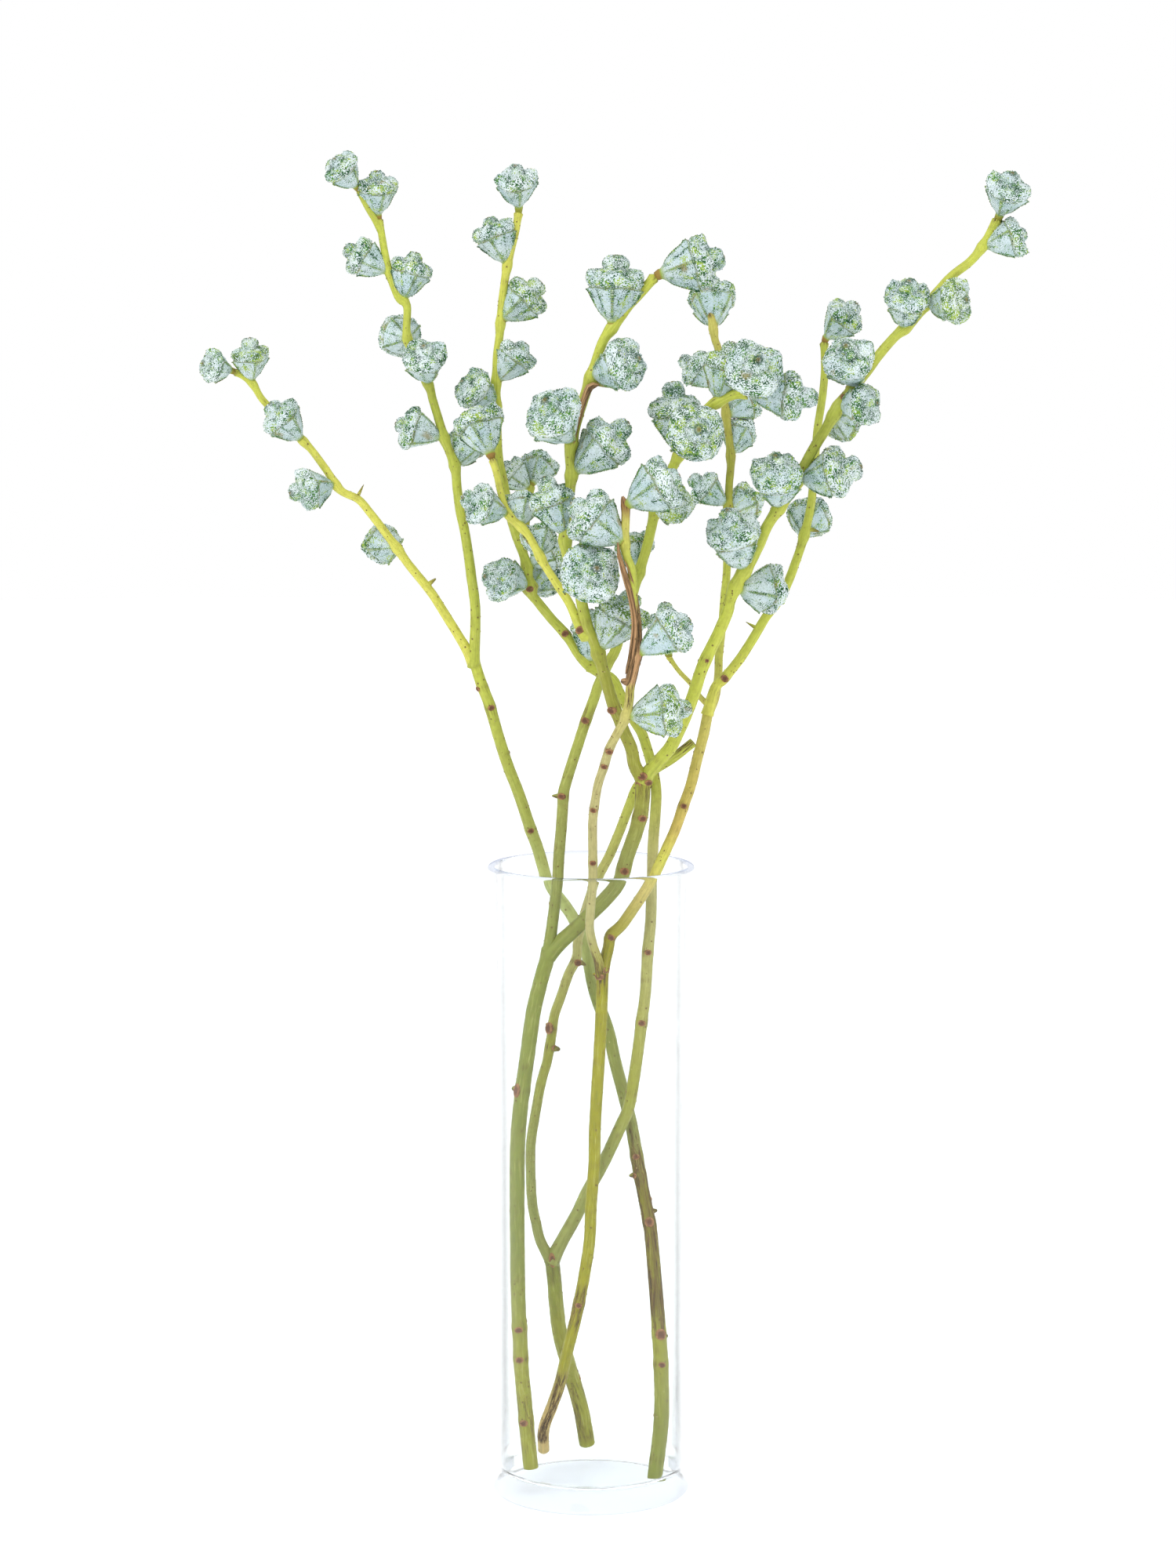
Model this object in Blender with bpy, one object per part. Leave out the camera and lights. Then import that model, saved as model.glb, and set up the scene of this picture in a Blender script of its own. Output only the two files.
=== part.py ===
"""Gum nut sprigs in a glass cylinder vase.

Four cut stems stand in a clear vase. Each forks into sprays that carry unstalked, top-shaped gum
nuts: a funnel body with four sharp ribs, a beaded rim, and a warty domed cap with four lobes and a
central knob. Every stem is one grown piece with its branches and nuts, so it is one solid.

Units are metres, +Z up. The origin is the centre of the vase's underside. The photograph was taken
from the -Y side, so +X is to the right in it, and routes are written as sightings in that picture:
pixels across and down in its 1500 x 2000 frame, with the distance behind the vase's axis as a size.
"""
import math
import random
from dataclasses import dataclass

import bpy
from mathutils import Vector

MM = 0.001

# The vase
VASE_HEIGHT = 310 * MM
VASE_RIM_RADIUS = 50 * MM
VASE_FOOT_RADIUS = 48.3 * MM
VASE_WALL = 3.3 * MM
VASE_FLOOR = 11 * MM
VASE_FOOT_ROUNDING = 2.5 * MM
VASE_SEGMENTS = 48
REST_GAP = 0.3 * MM

# The place that the photograph was taken from, relative to the vase's foot
VIEW_DISTANCE = 1.925
VIEW_HEIGHT = 0.581
VIEW_ACROSS = -0.0015
VIEW_TILT_DOWN = math.radians(6.87)
VIEW_FOCAL_PIXELS = 5128
VIEW_CENTRE_PIXEL = (750, 1000)

# A gum nut's proportions, as shares of its width, its length and its limb's radius
NUT_LENGTH_TO_WIDTH = 1.2
NUT_SHORTEST_TO_WIDTH = 1.08
NUT_LONGEST_TO_WIDTH = 1.34
NUT_CROWN_CENTRE = 0.75
NUT_RIBS = 4
NUT_SEAT = 0.7
NUT_NECK = 0.5

# Height along the nut, radius, how deep the faces lie between the ribs, and wart relief
NUT_RINGS = (
    (0.00, 0.19, 0.00, 0.00),
    (0.13, 0.42, 0.06, 0.00),
    (0.36, 0.76, 0.09, 0.00),
    (0.61, 1.06, 0.10, 0.02),
    (0.75, 0.98, 0.11, 0.05),
    (0.88, 0.68, 0.12, 0.07),
    (0.92, 0.29, 0.00, 0.00),
    (1.00, 0.22, 0.00, 0.00),
)

LARGE_NUT_SIDES = 12
SMALL_NUT_SIDES = 8
LARGE_NUT_WIDTH = 22.5
TRUNK_SIDES = 7
SPRAY_SIDES = 6
SNAG_SIDES = 5
STRAIGHT_ENOUGH = 0.5 * MM
FACET_ALLOWANCE = 1.06


@dataclass(frozen=True)
class Limb:
    """A length of stem: its route in the picture and its place behind the vase's axis.

    behind gives pairs of pixels down and millimetres behind the axis, read along the route.
    """

    name: str
    thick: float
    thin: float
    route: tuple
    behind: tuple
    sides: int = SPRAY_SIDES
    foot: tuple = ()


@dataclass(frozen=True)
class Nut:
    """A gum nut on a limb: crown centre and base in the picture, and its real width.

    facing is -1 where the crown tips toward the photographer, and +1 where it tips away.
    """

    limb: str
    crown: tuple
    base: tuple
    width: float
    facing: int = -1

    @property
    def sides(self):
        """How many sides its section has: more on a large nut that is seen from its cap."""
        large = self.width > LARGE_NUT_WIDTH and self.facing < 0
        return LARGE_NUT_SIDES if large else SMALL_NUT_SIDES


@dataclass(frozen=True)
class Snag:
    """A bud, stub or thorn that stands out from a limb to a tip in the picture."""

    limb: str
    tip: tuple
    root: float
    end: float
    lift: float = 0.0


# Stem A, the straight stem at the left of the vase, with sprays 4, 5 and 6

STEM_A_LIMBS = (
    Limb("a_trunk", 7.3, 7.2,
         route=((673, 1832), (669, 1788), (665, 1745), (663, 1702), (661, 1655), (660, 1579),
                (660, 1502), (661, 1451), (666, 1397), (673, 1346), (680, 1295), (689, 1257),
                (697, 1229), (700, 1214)),
         behind=((1832, -4), (1700, -7), (1502, -12), (1397, -12), (1295, -10), (1214, -6)),
         sides=TRUNK_SIDES, foot=(-29.5, -4.0)),
    Limb("a_left", 5.6, 4.5,
         route=((699, 1222), (703, 1193), (707, 1162), (711, 1127), (713, 1091), (716, 1055),
                (718, 1025), (719, 1010), (726, 985), (736, 954), (746, 923), (758, 890),
                (764, 872), (777, 844), (785, 829), (799, 785), (812, 740), (822, 708),
                (828, 686), (835, 655), (847, 621), (862, 588), (880, 556), (900, 524),
                (925, 508), (950, 499)),
         behind=((1222, -6), (1122, -10), (1025, -8), (872, -8), (740, -12), (655, -18),
                 (588, -30), (524, -42), (499, -47))),
    Limb("a_right", 7.0, 7.3,
         route=((699, 1222), (715, 1206), (733, 1190), (753, 1170), (773, 1150), (789, 1129),
                (800, 1092), (811, 1061), (818, 1033), (820, 1005), (821, 988)),
         behind=((1222, -6), (1170, -12), (1061, -16), (988, -20)), sides=TRUNK_SIDES),
    Limb("spray_5", 6.0, 4.4,
         route=((821, 995), (810, 977), (805, 954), (797, 936), (790, 918), (782, 898),
                (774, 872), (767, 847), (759, 821), (750, 801), (744, 778), (738, 750),
                (728, 722), (721, 693), (723, 655), (727, 624), (729, 602), (727, 579),
                (730, 561), (735, 539), (741, 519), (747, 501), (752, 485), (758, 468),
                (768, 438), (777, 423), (789, 408), (802, 390), (817, 374), (830, 359),
                (837, 351)),
         behind=((995, -19), (950, -28), (898, -36), (847, -40), (765, -42), (600, -42),
                 (500, -40), (400, -38), (351, -36))),
    Limb("spray_3b", 4.4, 3.2,
         route=((746, 812), (736, 792), (726, 769), (713, 749), (698, 726), (685, 703),
                (672, 680), (649, 657), (639, 629), (634, 606), (627, 583)),
         behind=((812, -40), (749, -32), (680, -26), (583, -20))),
    Limb("spray_6", 6.4, 4.0,
         route=((820, 998), (828, 984), (838, 973), (848, 962), (857, 950), (872, 918),
                (885, 885), (892, 862), (902, 837), (915, 811), (928, 780), (931, 766),
                (942, 740), (954, 722), (967, 697), (977, 674), (990, 653), (1003, 636),
                (1016, 615), (1028, 590), (1041, 567), (1054, 546), (1067, 523), (1077, 508),
                (1086, 498), (1105, 475), (1121, 453), (1142, 429), (1161, 413), (1180, 390),
                (1212, 354), (1236, 335), (1250, 319), (1260, 303), (1268, 287), (1274, 278)),
         behind=((998, -19), (950, -24), (800, -25), (700, -28), (600, -30), (500, -28),
                 (400, -20), (278, -12))),
)

STEM_A_NUTS = (
    Nut("a_left", (808, 690), (818, 733), 19, +1),
    Nut("a_left", (862, 638), (833, 650), 20.5, -1),
    Nut("a_left", (860, 511), (858, 578), 24.5, -1),
    Nut("a_left", (889, 550), (880, 562), 26, -1),
    Nut("a_left", (930, 455), (905, 505), 20.5, +1),
    Nut("a_left", (964, 466), (950, 490), 27, -1),
    Nut("a_left", (1019, 506), (962, 505), 23, -1),
    Nut("spray_5", (904, 333), (844, 356), 25, -1),
    Nut("spray_5", (785, 348), (774, 412), 25.5, -1),
    Nut("spray_5", (805, 461), (757, 482), 24.5, -1),
    Nut("spray_5", (701, 520), (723, 564), 27, -1),
    Nut("spray_5", (783, 556), (745, 607), 25, -1),
    Nut("spray_5", (698, 619), (708, 686), 21.5, -1),
    Nut("spray_5", (756, 729), (738, 745), 27.5, -1),
    Nut("spray_5", (800, 772), (775, 829), 24, -1),
    Nut("spray_3b", (608, 530), (627, 581), 23, +1),
    Nut("spray_3b", (605, 640), (646, 657), 19.5, -1),
    Nut("spray_3b", (663, 638), (669, 667), 17, +1),
    Nut("spray_3b", (687, 682), (690, 708), 17, +1),
    Nut("spray_6", (933, 670), (940, 724), 26, -1),
    Nut("spray_6", (990, 752), (948, 755), 23, +1),
    Nut("spray_6", (990, 598), (983, 641), 24.5, -1),
    Nut("spray_6", (1076, 600), (1027, 618), 24, -1),
    Nut("spray_6", (1110, 515), (1081, 527), 19.5, -1),
    Nut("spray_6", (1078, 540), (1064, 533), 18, +1),
    Nut("spray_6", (1081, 451), (1087, 491), 24, -1),
    Nut("spray_6", (1158, 372), (1148, 416), 21.5, -1),
    Nut("spray_6", (1226, 383), (1184, 392), 21, -1),
    Nut("spray_6", (1288, 233), (1274, 276), 20.5, -1),
    Nut("spray_6", (1301, 300), (1263, 322), 19, -1),
)

STEM_A_SNAGS = (
    Snag("a_trunk", (653, 1390), 3.2, 1.4),
    Snag("a_left", (704, 1015), 2.2, 0.8),
    Snag("a_right", (832, 1003), 3.0, 1.2),
    Snag("spray_5", (778, 494), 1.8, 0.8),
    Snag("spray_5", (795, 925), 2.4, 1.0),
)

# Stem B, the thickest foot, with a cut left arm and the right arm that becomes spray 3a

STEM_B_LIMBS = (
    Limb("b_trunk", 8.2, 7.2,
         route=((741, 1799), (732, 1767), (721, 1730), (712, 1692), (706, 1630), (703, 1606)),
         behind=((1799, 32), (1767, 28), (1720, 19), (1692, 14), (1606, 6)),
         sides=TRUNK_SIDES, foot=(-2.0, 37.5)),
    Limb("b_left", 5.0, 4.6,
         route=((703, 1612), (689, 1586), (683, 1563), (678, 1538), (676, 1502), (676, 1464),
                (681, 1430), (689, 1387), (697, 1359), (702, 1331), (706, 1303), (715, 1277),
                (725, 1249), (735, 1229), (737, 1205), (746, 1172), (753, 1150), (764, 1117),
                (777, 1092), (790, 1061), (802, 1030), (813, 1003), (832, 984), (857, 968),
                (884, 947)),
         behind=((1612, 6), (1502, 6), (1400, 8), (1303, 10), (1229, 14), (1165, 15),
                 (1092, 12), (1030, 6), (985, 0), (947, -3))),
    Limb("b_right", 6.4, 4.8,
         route=((703, 1612), (712, 1594), (722, 1576), (735, 1553), (750, 1522), (763, 1499),
                (776, 1474), (789, 1446), (801, 1420), (807, 1392), (814, 1346), (819, 1308),
                (824, 1270), (827, 1219), (831, 1178), (832, 1124), (833, 1078), (837, 1015),
                (833, 984), (825, 954), (818, 934), (805, 913), (791, 885), (782, 867),
                (766, 857), (751, 849)),
         behind=((1612, 6), (1576, 5), (1500, 4), (1430, -1), (1219, -1), (1124, 4),
                 (1015, 9), (954, 12), (849, 14))),
    Limb("spray_3a", 4.9, 3.6,
         route=((766, 857), (751, 849), (738, 834), (723, 811), (703, 789), (687, 769),
                (677, 754), (670, 715), (659, 685), (652, 662), (646, 634), (641, 608),
                (636, 583), (634, 537), (633, 492), (634, 453), (637, 430), (640, 390),
                (643, 364), (647, 339), (652, 318), (658, 293), (662, 268)),
         behind=((857, 14), (754, 12), (662, 12), (450, 10), (268, 8))),
    Limb("spray_3a_back", 3.0, 2.6,
         route=((668, 705), (672, 668), (676, 640), (677, 618)),
         behind=((705, 12), (618, 32)), sides=SNAG_SIDES),
)

STEM_B_NUTS = (
    Nut("spray_3a", (658, 222), (662, 264), 19.5, -1),
    Nut("spray_3a", (627, 288), (636, 337), 20, -1),
    Nut("spray_3a", (678, 372), (648, 411), 20.5, -1),
    Nut("spray_3a", (665, 445), (643, 489), 18, -1),
    Nut("spray_3a", (598, 492), (632, 517), 19.5, -1),
    Nut("spray_3a", (632, 738), (670, 748), 21, -1),
    Nut("spray_3a", (695, 733), (677, 752), 20, +1),
    Nut("spray_3a", (711, 700), (672, 722), 18, +1),
    Nut("b_right", (755, 778), (748, 845), 20, +1),
    Nut("spray_3a_back", (646, 598), (675, 624), 15.5, +1),
    Nut("spray_3a_back", (690, 588), (677, 620), 18, +1),
)

STEM_B_SNAGS = (
    Snag("b_left", (695, 1312), 2.0, 0.8),
    Snag("b_left", (714, 1344), 2.4, 1.2),
    Snag("b_left", (747, 1238), 2.2, 0.9),
    Snag("b_trunk", (691, 1601), 3.0, 1.2),
)

# Stem C, with a cut left arm, the back spray 7 and spray 8

STEM_C_LIMBS = (
    Limb("c_trunk", 5.8, 5.8,
         route=((693, 1823), (704, 1793), (714, 1765), (725, 1719), (735, 1680), (745, 1630),
                (752, 1584), (754, 1538), (758, 1487), (759, 1438), (763, 1372), (766, 1321),
                (768, 1270), (768, 1240)),
         behind=((1823, 19), (1765, 8), (1719, -2), (1630, -6), (1500, -8), (1240, -10)),
         sides=TRUNK_SIDES, foot=(-24.0, 26.0)),
    Limb("c_left", 4.4, 4.0,
         route=((767, 1251), (763, 1229), (756, 1208), (752, 1185), (754, 1155), (756, 1124),
                (756, 1079), (756, 1048), (759, 1023), (763, 1000), (770, 979), (777, 956),
                (787, 936), (797, 918), (802, 898), (804, 877), (809, 855), (813, 827),
                (813, 799), (809, 771), (806, 729), (799, 708), (797, 688), (798, 651),
                (794, 633)),
         behind=((1251, -10), (1165, -26), (1079, -32), (1000, -46), (918, -60), (855, -64),
                 (771, -66), (633, -62))),
    Limb("c_right", 5.4, 5.2,
         route=((768, 1243), (776, 1213), (779, 1198), (794, 1183), (812, 1157), (827, 1134),
                (837, 1111), (850, 1083), (862, 1056), (871, 1030), (881, 1002), (889, 969),
                (897, 939), (904, 904)),
         behind=((1243, -10), (1117, -13), (1030, -2), (969, 10), (904, 16))),
    Limb("spray_7", 4.2, 3.6,
         route=((904, 908), (912, 890), (916, 862), (917, 837), (921, 799), (924, 760),
                (927, 728), (929, 648), (930, 620), (932, 582), (925, 520), (917, 451),
                (912, 433), (908, 408), (905, 399)),
         behind=((908, 16), (862, 32), (799, 50), (728, 62), (620, 70), (399, 70)),
         sides=SNAG_SIDES),
    Limb("spray_8", 5.0, 3.6,
         route=((902, 912), (912, 878), (924, 865), (944, 840), (962, 812), (977, 787),
                (993, 767), (1005, 743), (1013, 722), (1021, 699), (1028, 674), (1034, 646),
                (1037, 620), (1042, 554), (1046, 526), (1050, 498), (1052, 470), (1051, 434)),
         behind=((912, 15), (767, 16), (646, 16), (554, 18), (434, 20))),
    Limb("c_twig", 2.6, 2.2,
         route=((904, 900), (893, 889), (881, 872), (866, 856), (853, 838)),
         behind=((900, 16), (838, 34)), sides=SNAG_SIDES),
)

STEM_C_NUTS = (
    Nut("c_left", (855, 612), (805, 644), 24.5, -1),
    Nut("c_left", (742, 652), (789, 695), 25, -1),
    Nut("c_left", (872, 795), (825, 837), 23, -1),
    Nut("c_left", (864, 905), (810, 916), 23.5, -1),
    Nut("spray_7", (908, 372), (903, 420), 23.5, +1),
    Nut("spray_7", (880, 465), (915, 494), 18.5, +1),
    Nut("spray_7", (943, 545), (931, 581), 18.5, +1),
    Nut("spray_7", (893, 618), (922, 645), 17.5, +1),
    Nut("spray_7", (958, 636), (932, 658), 18.5, +1),
    Nut("spray_7", (955, 512), (926, 530), 17.5, +1),
    Nut("spray_8", (1083, 398), (1053, 432), 19.5, -1),
    Nut("spray_8", (1034, 655), (1032, 684), 21.5, +1),
    Nut("c_twig", (848, 768), (853, 836), 19, +1),
)

STEM_C_SNAGS = (
    Snag("c_left", (792, 868), 2.4, 1.6),
    Snag("spray_8", (951, 793), 1.4, 0.3),
    Snag("spray_8", (1045, 678), 1.8, 0.6),
    Snag("c_trunk", (756, 1247), 2.2, 0.8),
)

# Stem D, at the right of the vase, which leans left and carries sprays 1 and 2

STEM_D_LIMBS = (
    Limb("d_trunk", 7.0, 5.4,
         route=((842, 1810), (842, 1745), (840, 1702), (837, 1655), (831, 1579), (827, 1553),
                (817, 1502), (809, 1456), (804, 1431), (795, 1397), (784, 1356), (776, 1321),
                (758, 1270), (747, 1219), (733, 1185), (720, 1165), (702, 1142), (697, 1122),
                (687, 1086), (677, 1058), (662, 1013), (647, 974), (634, 933), (624, 898),
                (614, 872), (606, 847), (603, 836)),
         behind=((1810, -21), (1745, -18), (1702, -15), (1579, -5), (1430, 11), (1290, 22),
                 (1165, 30), (1086, 30), (900, 22), (836, 20)),
         sides=TRUNK_SIDES, foot=(30.5, -22.0)),
    Limb("spray_2", 5.2, 3.4,
         route=((604, 848), (606, 810), (606, 773), (601, 734), (597, 704), (592, 674),
                (587, 652), (583, 622), (580, 594), (568, 563), (559, 533), (552, 510),
                (547, 492), (530, 460), (519, 428), (519, 390), (507, 377), (497, 349),
                (490, 318), (485, 288), (482, 278)),
         behind=((848, 20), (700, 14), (500, 10), (278, 8))),
    Limb("spray_2_tip", 3.2, 2.8,
         route=((486, 296), (478, 280), (469, 265), (456, 240)),
         behind=((296, 8), (240, 2)), sides=SNAG_SIDES),
    Limb("spray_1", 4.8, 3.2,
         route=((604, 848), (596, 830), (583, 808), (568, 784), (553, 760), (540, 743),
                (522, 721), (507, 700), (492, 680), (472, 654), (457, 637), (434, 625),
                (416, 599), (399, 576), (387, 563), (361, 536), (335, 510), (322, 489),
                (309, 479), (297, 473)),
         behind=((848, 20), (680, 24), (473, 28))),
)

STEM_D_NUTS = (
    Nut("spray_1", (265, 465), (297, 474), 16, -1),
    Nut("spray_1", (319, 445), (325, 484), 17.5, -1),
    Nut("spray_1", (352, 525), (386, 563), 20.5, -1),
    Nut("spray_1", (385, 626), (424, 620), 19.5, -1),
    Nut("spray_1", (484, 693), (505, 699), 19, +1),
    Nut("spray_2_tip", (431, 208), (454, 238), 17.5, -1),
    Nut("spray_2", (481, 230), (483, 276), 19, -1),
    Nut("spray_2", (450, 322), (493, 349), 17.5, -1),
    Nut("spray_2", (527, 335), (518, 381), 19.5, -1),
    Nut("spray_2", (508, 428), (520, 432), 20, +1),
    Nut("spray_2", (541, 448), (546, 490), 21, -1),
    Nut("spray_2", (515, 543), (560, 561), 21, -1),
    Nut("spray_2", (598, 560), (582, 596), 19, +1),
)

STEM_D_SNAGS = (
    Snag("d_trunk", (851, 1704), 2.6, 1.2),
    Snag("d_trunk", (839, 1546), 2.4, 1.0),
    Snag("d_trunk", (803, 1503), 2.6, 1.0),
    Snag("spray_1", (464, 618), 1.3, 0.3),
    Snag("spray_1", (556, 738), 1.6, 0.7),
)


def clear_scene():
    """Removes what a new file starts with."""
    for item in list(bpy.data.objects):
        bpy.data.objects.remove(item, do_unlink=True)


def sighted(across, down, behind):
    """The point at a pixel of the photograph, at a distance behind the vase's axis."""
    right = Vector((1, 0, 0))
    ahead = Vector((0, math.cos(VIEW_TILT_DOWN), -math.sin(VIEW_TILT_DOWN)))
    up = Vector((0, math.sin(VIEW_TILT_DOWN), math.cos(VIEW_TILT_DOWN)))
    ray = (ahead
           + right * (across - VIEW_CENTRE_PIXEL[0]) / VIEW_FOCAL_PIXELS
           + up * (VIEW_CENTRE_PIXEL[1] - down) / VIEW_FOCAL_PIXELS)
    eye = Vector((VIEW_ACROSS, -VIEW_DISTANCE, VIEW_HEIGHT))
    return eye + ray * (behind - eye.y) / ray.y


def pixel_size(place):
    """The real size that one pixel of the photograph spans at a place."""
    depth = (place.y + VIEW_DISTANCE) * math.cos(VIEW_TILT_DOWN)
    depth += (VIEW_HEIGHT - place.z) * math.sin(VIEW_TILT_DOWN)
    return depth / VIEW_FOCAL_PIXELS


def read_between(marks, down):
    """The distance behind the axis at a height in the picture, between the marks around it."""
    if down >= marks[0][0]:
        return marks[0][1] * MM
    for (low, low_value), (high, high_value) in zip(marks, marks[1:]):
        if down >= high:
            share = (low - down) / (low - high)
            return (low_value + (high_value - low_value) * share) * MM
    return marks[-1][1] * MM


def limb_points(limb):
    """The centre line of a limb, from its foot up."""
    points = [sighted(across, down, read_between(limb.behind, down)) for across, down in limb.route]
    if limb.foot:
        foot = Vector((limb.foot[0] * MM, limb.foot[1] * MM, VASE_FLOOR + REST_GAP))
        points.insert(0, foot)
    return points


def limb_radii(limb, points):
    """The radius at each point, which falls evenly along the limb."""
    lengths = [0.0]
    for low, high in zip(points, points[1:]):
        lengths.append(lengths[-1] + (high - low).length)
    return [(limb.thick + (limb.thin - limb.thick) * length / lengths[-1]) * MM / 2 * FACET_ALLOWANCE
            for length in lengths]


def without_straight_points(points, radii):
    """Leaves out points that lie on a nearly straight run between their neighbours."""
    kept = [0]
    for index in range(1, len(points) - 1):
        start = points[kept[-1]]
        along = (points[index + 1] - start).normalized()
        skipped = range(kept[-1] + 1, index + 1)
        bend = max(((points[n] - start) - along * (points[n] - start).dot(along)).length
                   for n in skipped)
        if bend > STRAIGHT_ENOUGH:
            kept.append(index)
    kept.append(len(points) - 1)
    return [points[n] for n in kept], [radii[n] for n in kept]


def closed_mesh(name, rings):
    """A closed solid through rings of equal size, with a flat cap at each end."""
    sides = len(rings[0])
    vertices = [tuple(corner) for ring in rings for corner in ring]
    faces = []
    for level in range(len(rings) - 1):
        for side in range(sides):
            beside = (side + 1) % sides
            low = level * sides
            high = low + sides
            faces.append((low + side, low + beside, high + beside, high + side))
    faces.append(tuple(reversed(range(sides))))
    top = (len(rings) - 1) * sides
    faces.append(tuple(range(top, top + sides)))
    mesh = bpy.data.meshes.new(name)
    mesh.from_pydata(vertices, [], faces)
    mesh.update()
    return mesh


def ring_around(centre, axis, side_axis, radius, sides):
    """Corners of a round section, counter-clockwise about its axis."""
    other = axis.cross(side_axis).normalized()
    return [centre + (side_axis * math.cos(turn) + other * math.sin(turn)) * radius
            for turn in (math.tau * n / sides for n in range(sides))]


def tube_mesh(name, points, radii, sides, flat_foot=False):
    """A tapering round bar along a centre line, cut level at its foot if it stands on one."""
    rings = []
    side_axis = None
    for index, centre in enumerate(points):
        before = points[max(index - 1, 0)]
        after = points[min(index + 1, len(points) - 1)]
        axis = (after - before).normalized()
        if flat_foot and index == 0:
            axis = Vector((0, 0, 1))
        if side_axis is None:
            side_axis = Vector((1, 0, 0)) if abs(axis.x) < 0.8 else Vector((0, 1, 0))
        side_axis = (side_axis - axis * side_axis.dot(axis)).normalized()
        rings.append(ring_around(centre, axis, side_axis, radii[index], sides))
    return closed_mesh(name, rings)


def nearest_on_limb(points, radii, place):
    """The centre-line point and radius of a limb nearest to a place."""
    best = None
    for index in range(len(points) - 1):
        run = points[index + 1] - points[index]
        share = min(max((place - points[index]).dot(run) / run.length_squared, 0), 1)
        foot = points[index] + run * share
        radius = radii[index] + (radii[index + 1] - radii[index]) * share
        if best is None or (place - foot).length < best[0]:
            best = ((place - foot).length, foot, radius)
    return best[1], best[2]


def nut_axis(nut, limb, points, radii):
    """Where a nut grows from on its limb: the limb's centre there, its radius, and the nut's way out."""
    width = nut.width * MM
    behind = read_between(limb.behind, nut.base[1])
    centre, radius = nearest_on_limb(points, radii, sighted(*nut.base, behind))
    sunk = radius * NUT_SEAT
    reach = sunk + width * NUT_LENGTH_TO_WIDTH * NUT_CROWN_CENTRE
    seen = (sighted(*nut.crown, centre.y) - centre).length
    hidden = math.sqrt(max(reach ** 2 - seen ** 2, 0))
    crown = sighted(*nut.crown, centre.y + nut.facing * hidden)
    axis = (crown - centre).normalized()
    length = ((crown - centre).length - sunk) / NUT_CROWN_CENTRE
    length = min(max(length, width * NUT_SHORTEST_TO_WIDTH), width * NUT_LONGEST_TO_WIDTH)
    return centre, radius, axis, length


def nut_mesh(name, nut, centre, radius, axis, length, turn):
    """A ribbed nut with a warty cap, whose neck starts at the centre of its limb."""
    base = centre + axis * radius * NUT_SEAT
    helper = Vector((0, 0, 1)) if abs(axis.z) < 0.9 else Vector((1, 0, 0))
    side_axis = axis.cross(helper).normalized()
    other = axis.cross(side_axis).normalized()
    sides = nut.sides
    rings = [ring_around(centre, axis, side_axis, radius * NUT_NECK, sides)]
    for level, (height, width_share, dip, wart) in enumerate(NUT_RINGS):
        corners = []
        for side in range(sides):
            angle = math.tau * side / sides
            between = 0 if side % (sides // NUT_RIBS) == 0 else 1
            relief = wart * (1 if (side + level) % 2 else -1)
            reach = nut.width * MM / 2 * width_share * (1 - dip * between + relief)
            outward = side_axis * math.cos(angle + turn) + other * math.sin(angle + turn)
            corners.append(base + axis * length * height + outward * reach)
        rings.append(corners)
    return closed_mesh(name, rings)


def snag_mesh(name, snag, limb, points, radii):
    """A short tapering bud, stub or thorn that grows out of a limb."""
    behind = read_between(limb.behind, snag.tip[1]) + snag.lift * MM
    tip = sighted(*snag.tip, behind)
    root, _ = nearest_on_limb(points, radii, tip)
    return tube_mesh(name, [root, tip], [snag.root * MM / 2, snag.end * MM / 2], SNAG_SIDES)


def link(mesh, name, collection):
    """Puts a mesh in a collection as an object."""
    item = bpy.data.objects.new(name, mesh)
    collection.objects.link(item)
    return item


def stem_pieces(name, limbs, nuts, snags, collection):
    """All the pieces that make one stem, before they are grown together."""
    routes = {}
    pieces = []
    for limb in limbs:
        points = limb_points(limb)
        radii = limb_radii(limb, points)
        routes[limb.name] = (limb, points, radii)
        fewer, fewer_radii = without_straight_points(points, radii)
        mesh = tube_mesh(limb.name, fewer, fewer_radii, limb.sides, flat_foot=bool(limb.foot))
        pieces.append(link(mesh, f"{name}.{limb.name}", collection))
    turns = random.Random(name)
    for number, nut in enumerate(nuts):
        limb, points, radii = routes[nut.limb]
        turn = turns.uniform(0, math.tau / NUT_RIBS)
        mesh = nut_mesh("nut", nut, *nut_axis(nut, limb, points, radii), turn)
        pieces.append(link(mesh, f"{name}.nut_{number:02d}_{nut.crown[0]}_{nut.crown[1]}", collection))
    for number, snag in enumerate(snags):
        limb, points, radii = routes[snag.limb]
        mesh = snag_mesh("snag", snag, limb, points, radii)
        pieces.append(link(mesh, f"{name}.snag_{number:02d}", collection))
    return pieces


def grown_together(name, pieces, collection):
    """One solid made of a stem's pieces."""
    trunk = pieces[0]
    for other in pieces[1:]:
        collection.objects.unlink(other)
    parts = bpy.data.collections.new(f"{name}_pieces")
    for other in pieces[1:]:
        parts.objects.link(other)
    union = trunk.modifiers.new("grown_together", "BOOLEAN")
    union.operation = "UNION"
    union.operand_type = "COLLECTION"
    union.collection = parts
    union.solver = "EXACT"
    bpy.context.view_layer.update()
    evaluated = trunk.evaluated_get(bpy.context.evaluated_depsgraph_get())
    mesh = bpy.data.meshes.new_from_object(evaluated)
    trunk.modifiers.clear()
    mesh.name = name
    for other in list(pieces):
        bpy.data.objects.remove(other, do_unlink=True)
    bpy.data.collections.remove(parts)
    mesh.shade_smooth()
    mesh.set_sharp_from_angle(angle=math.radians(40))
    return link(mesh, name, collection)


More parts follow.
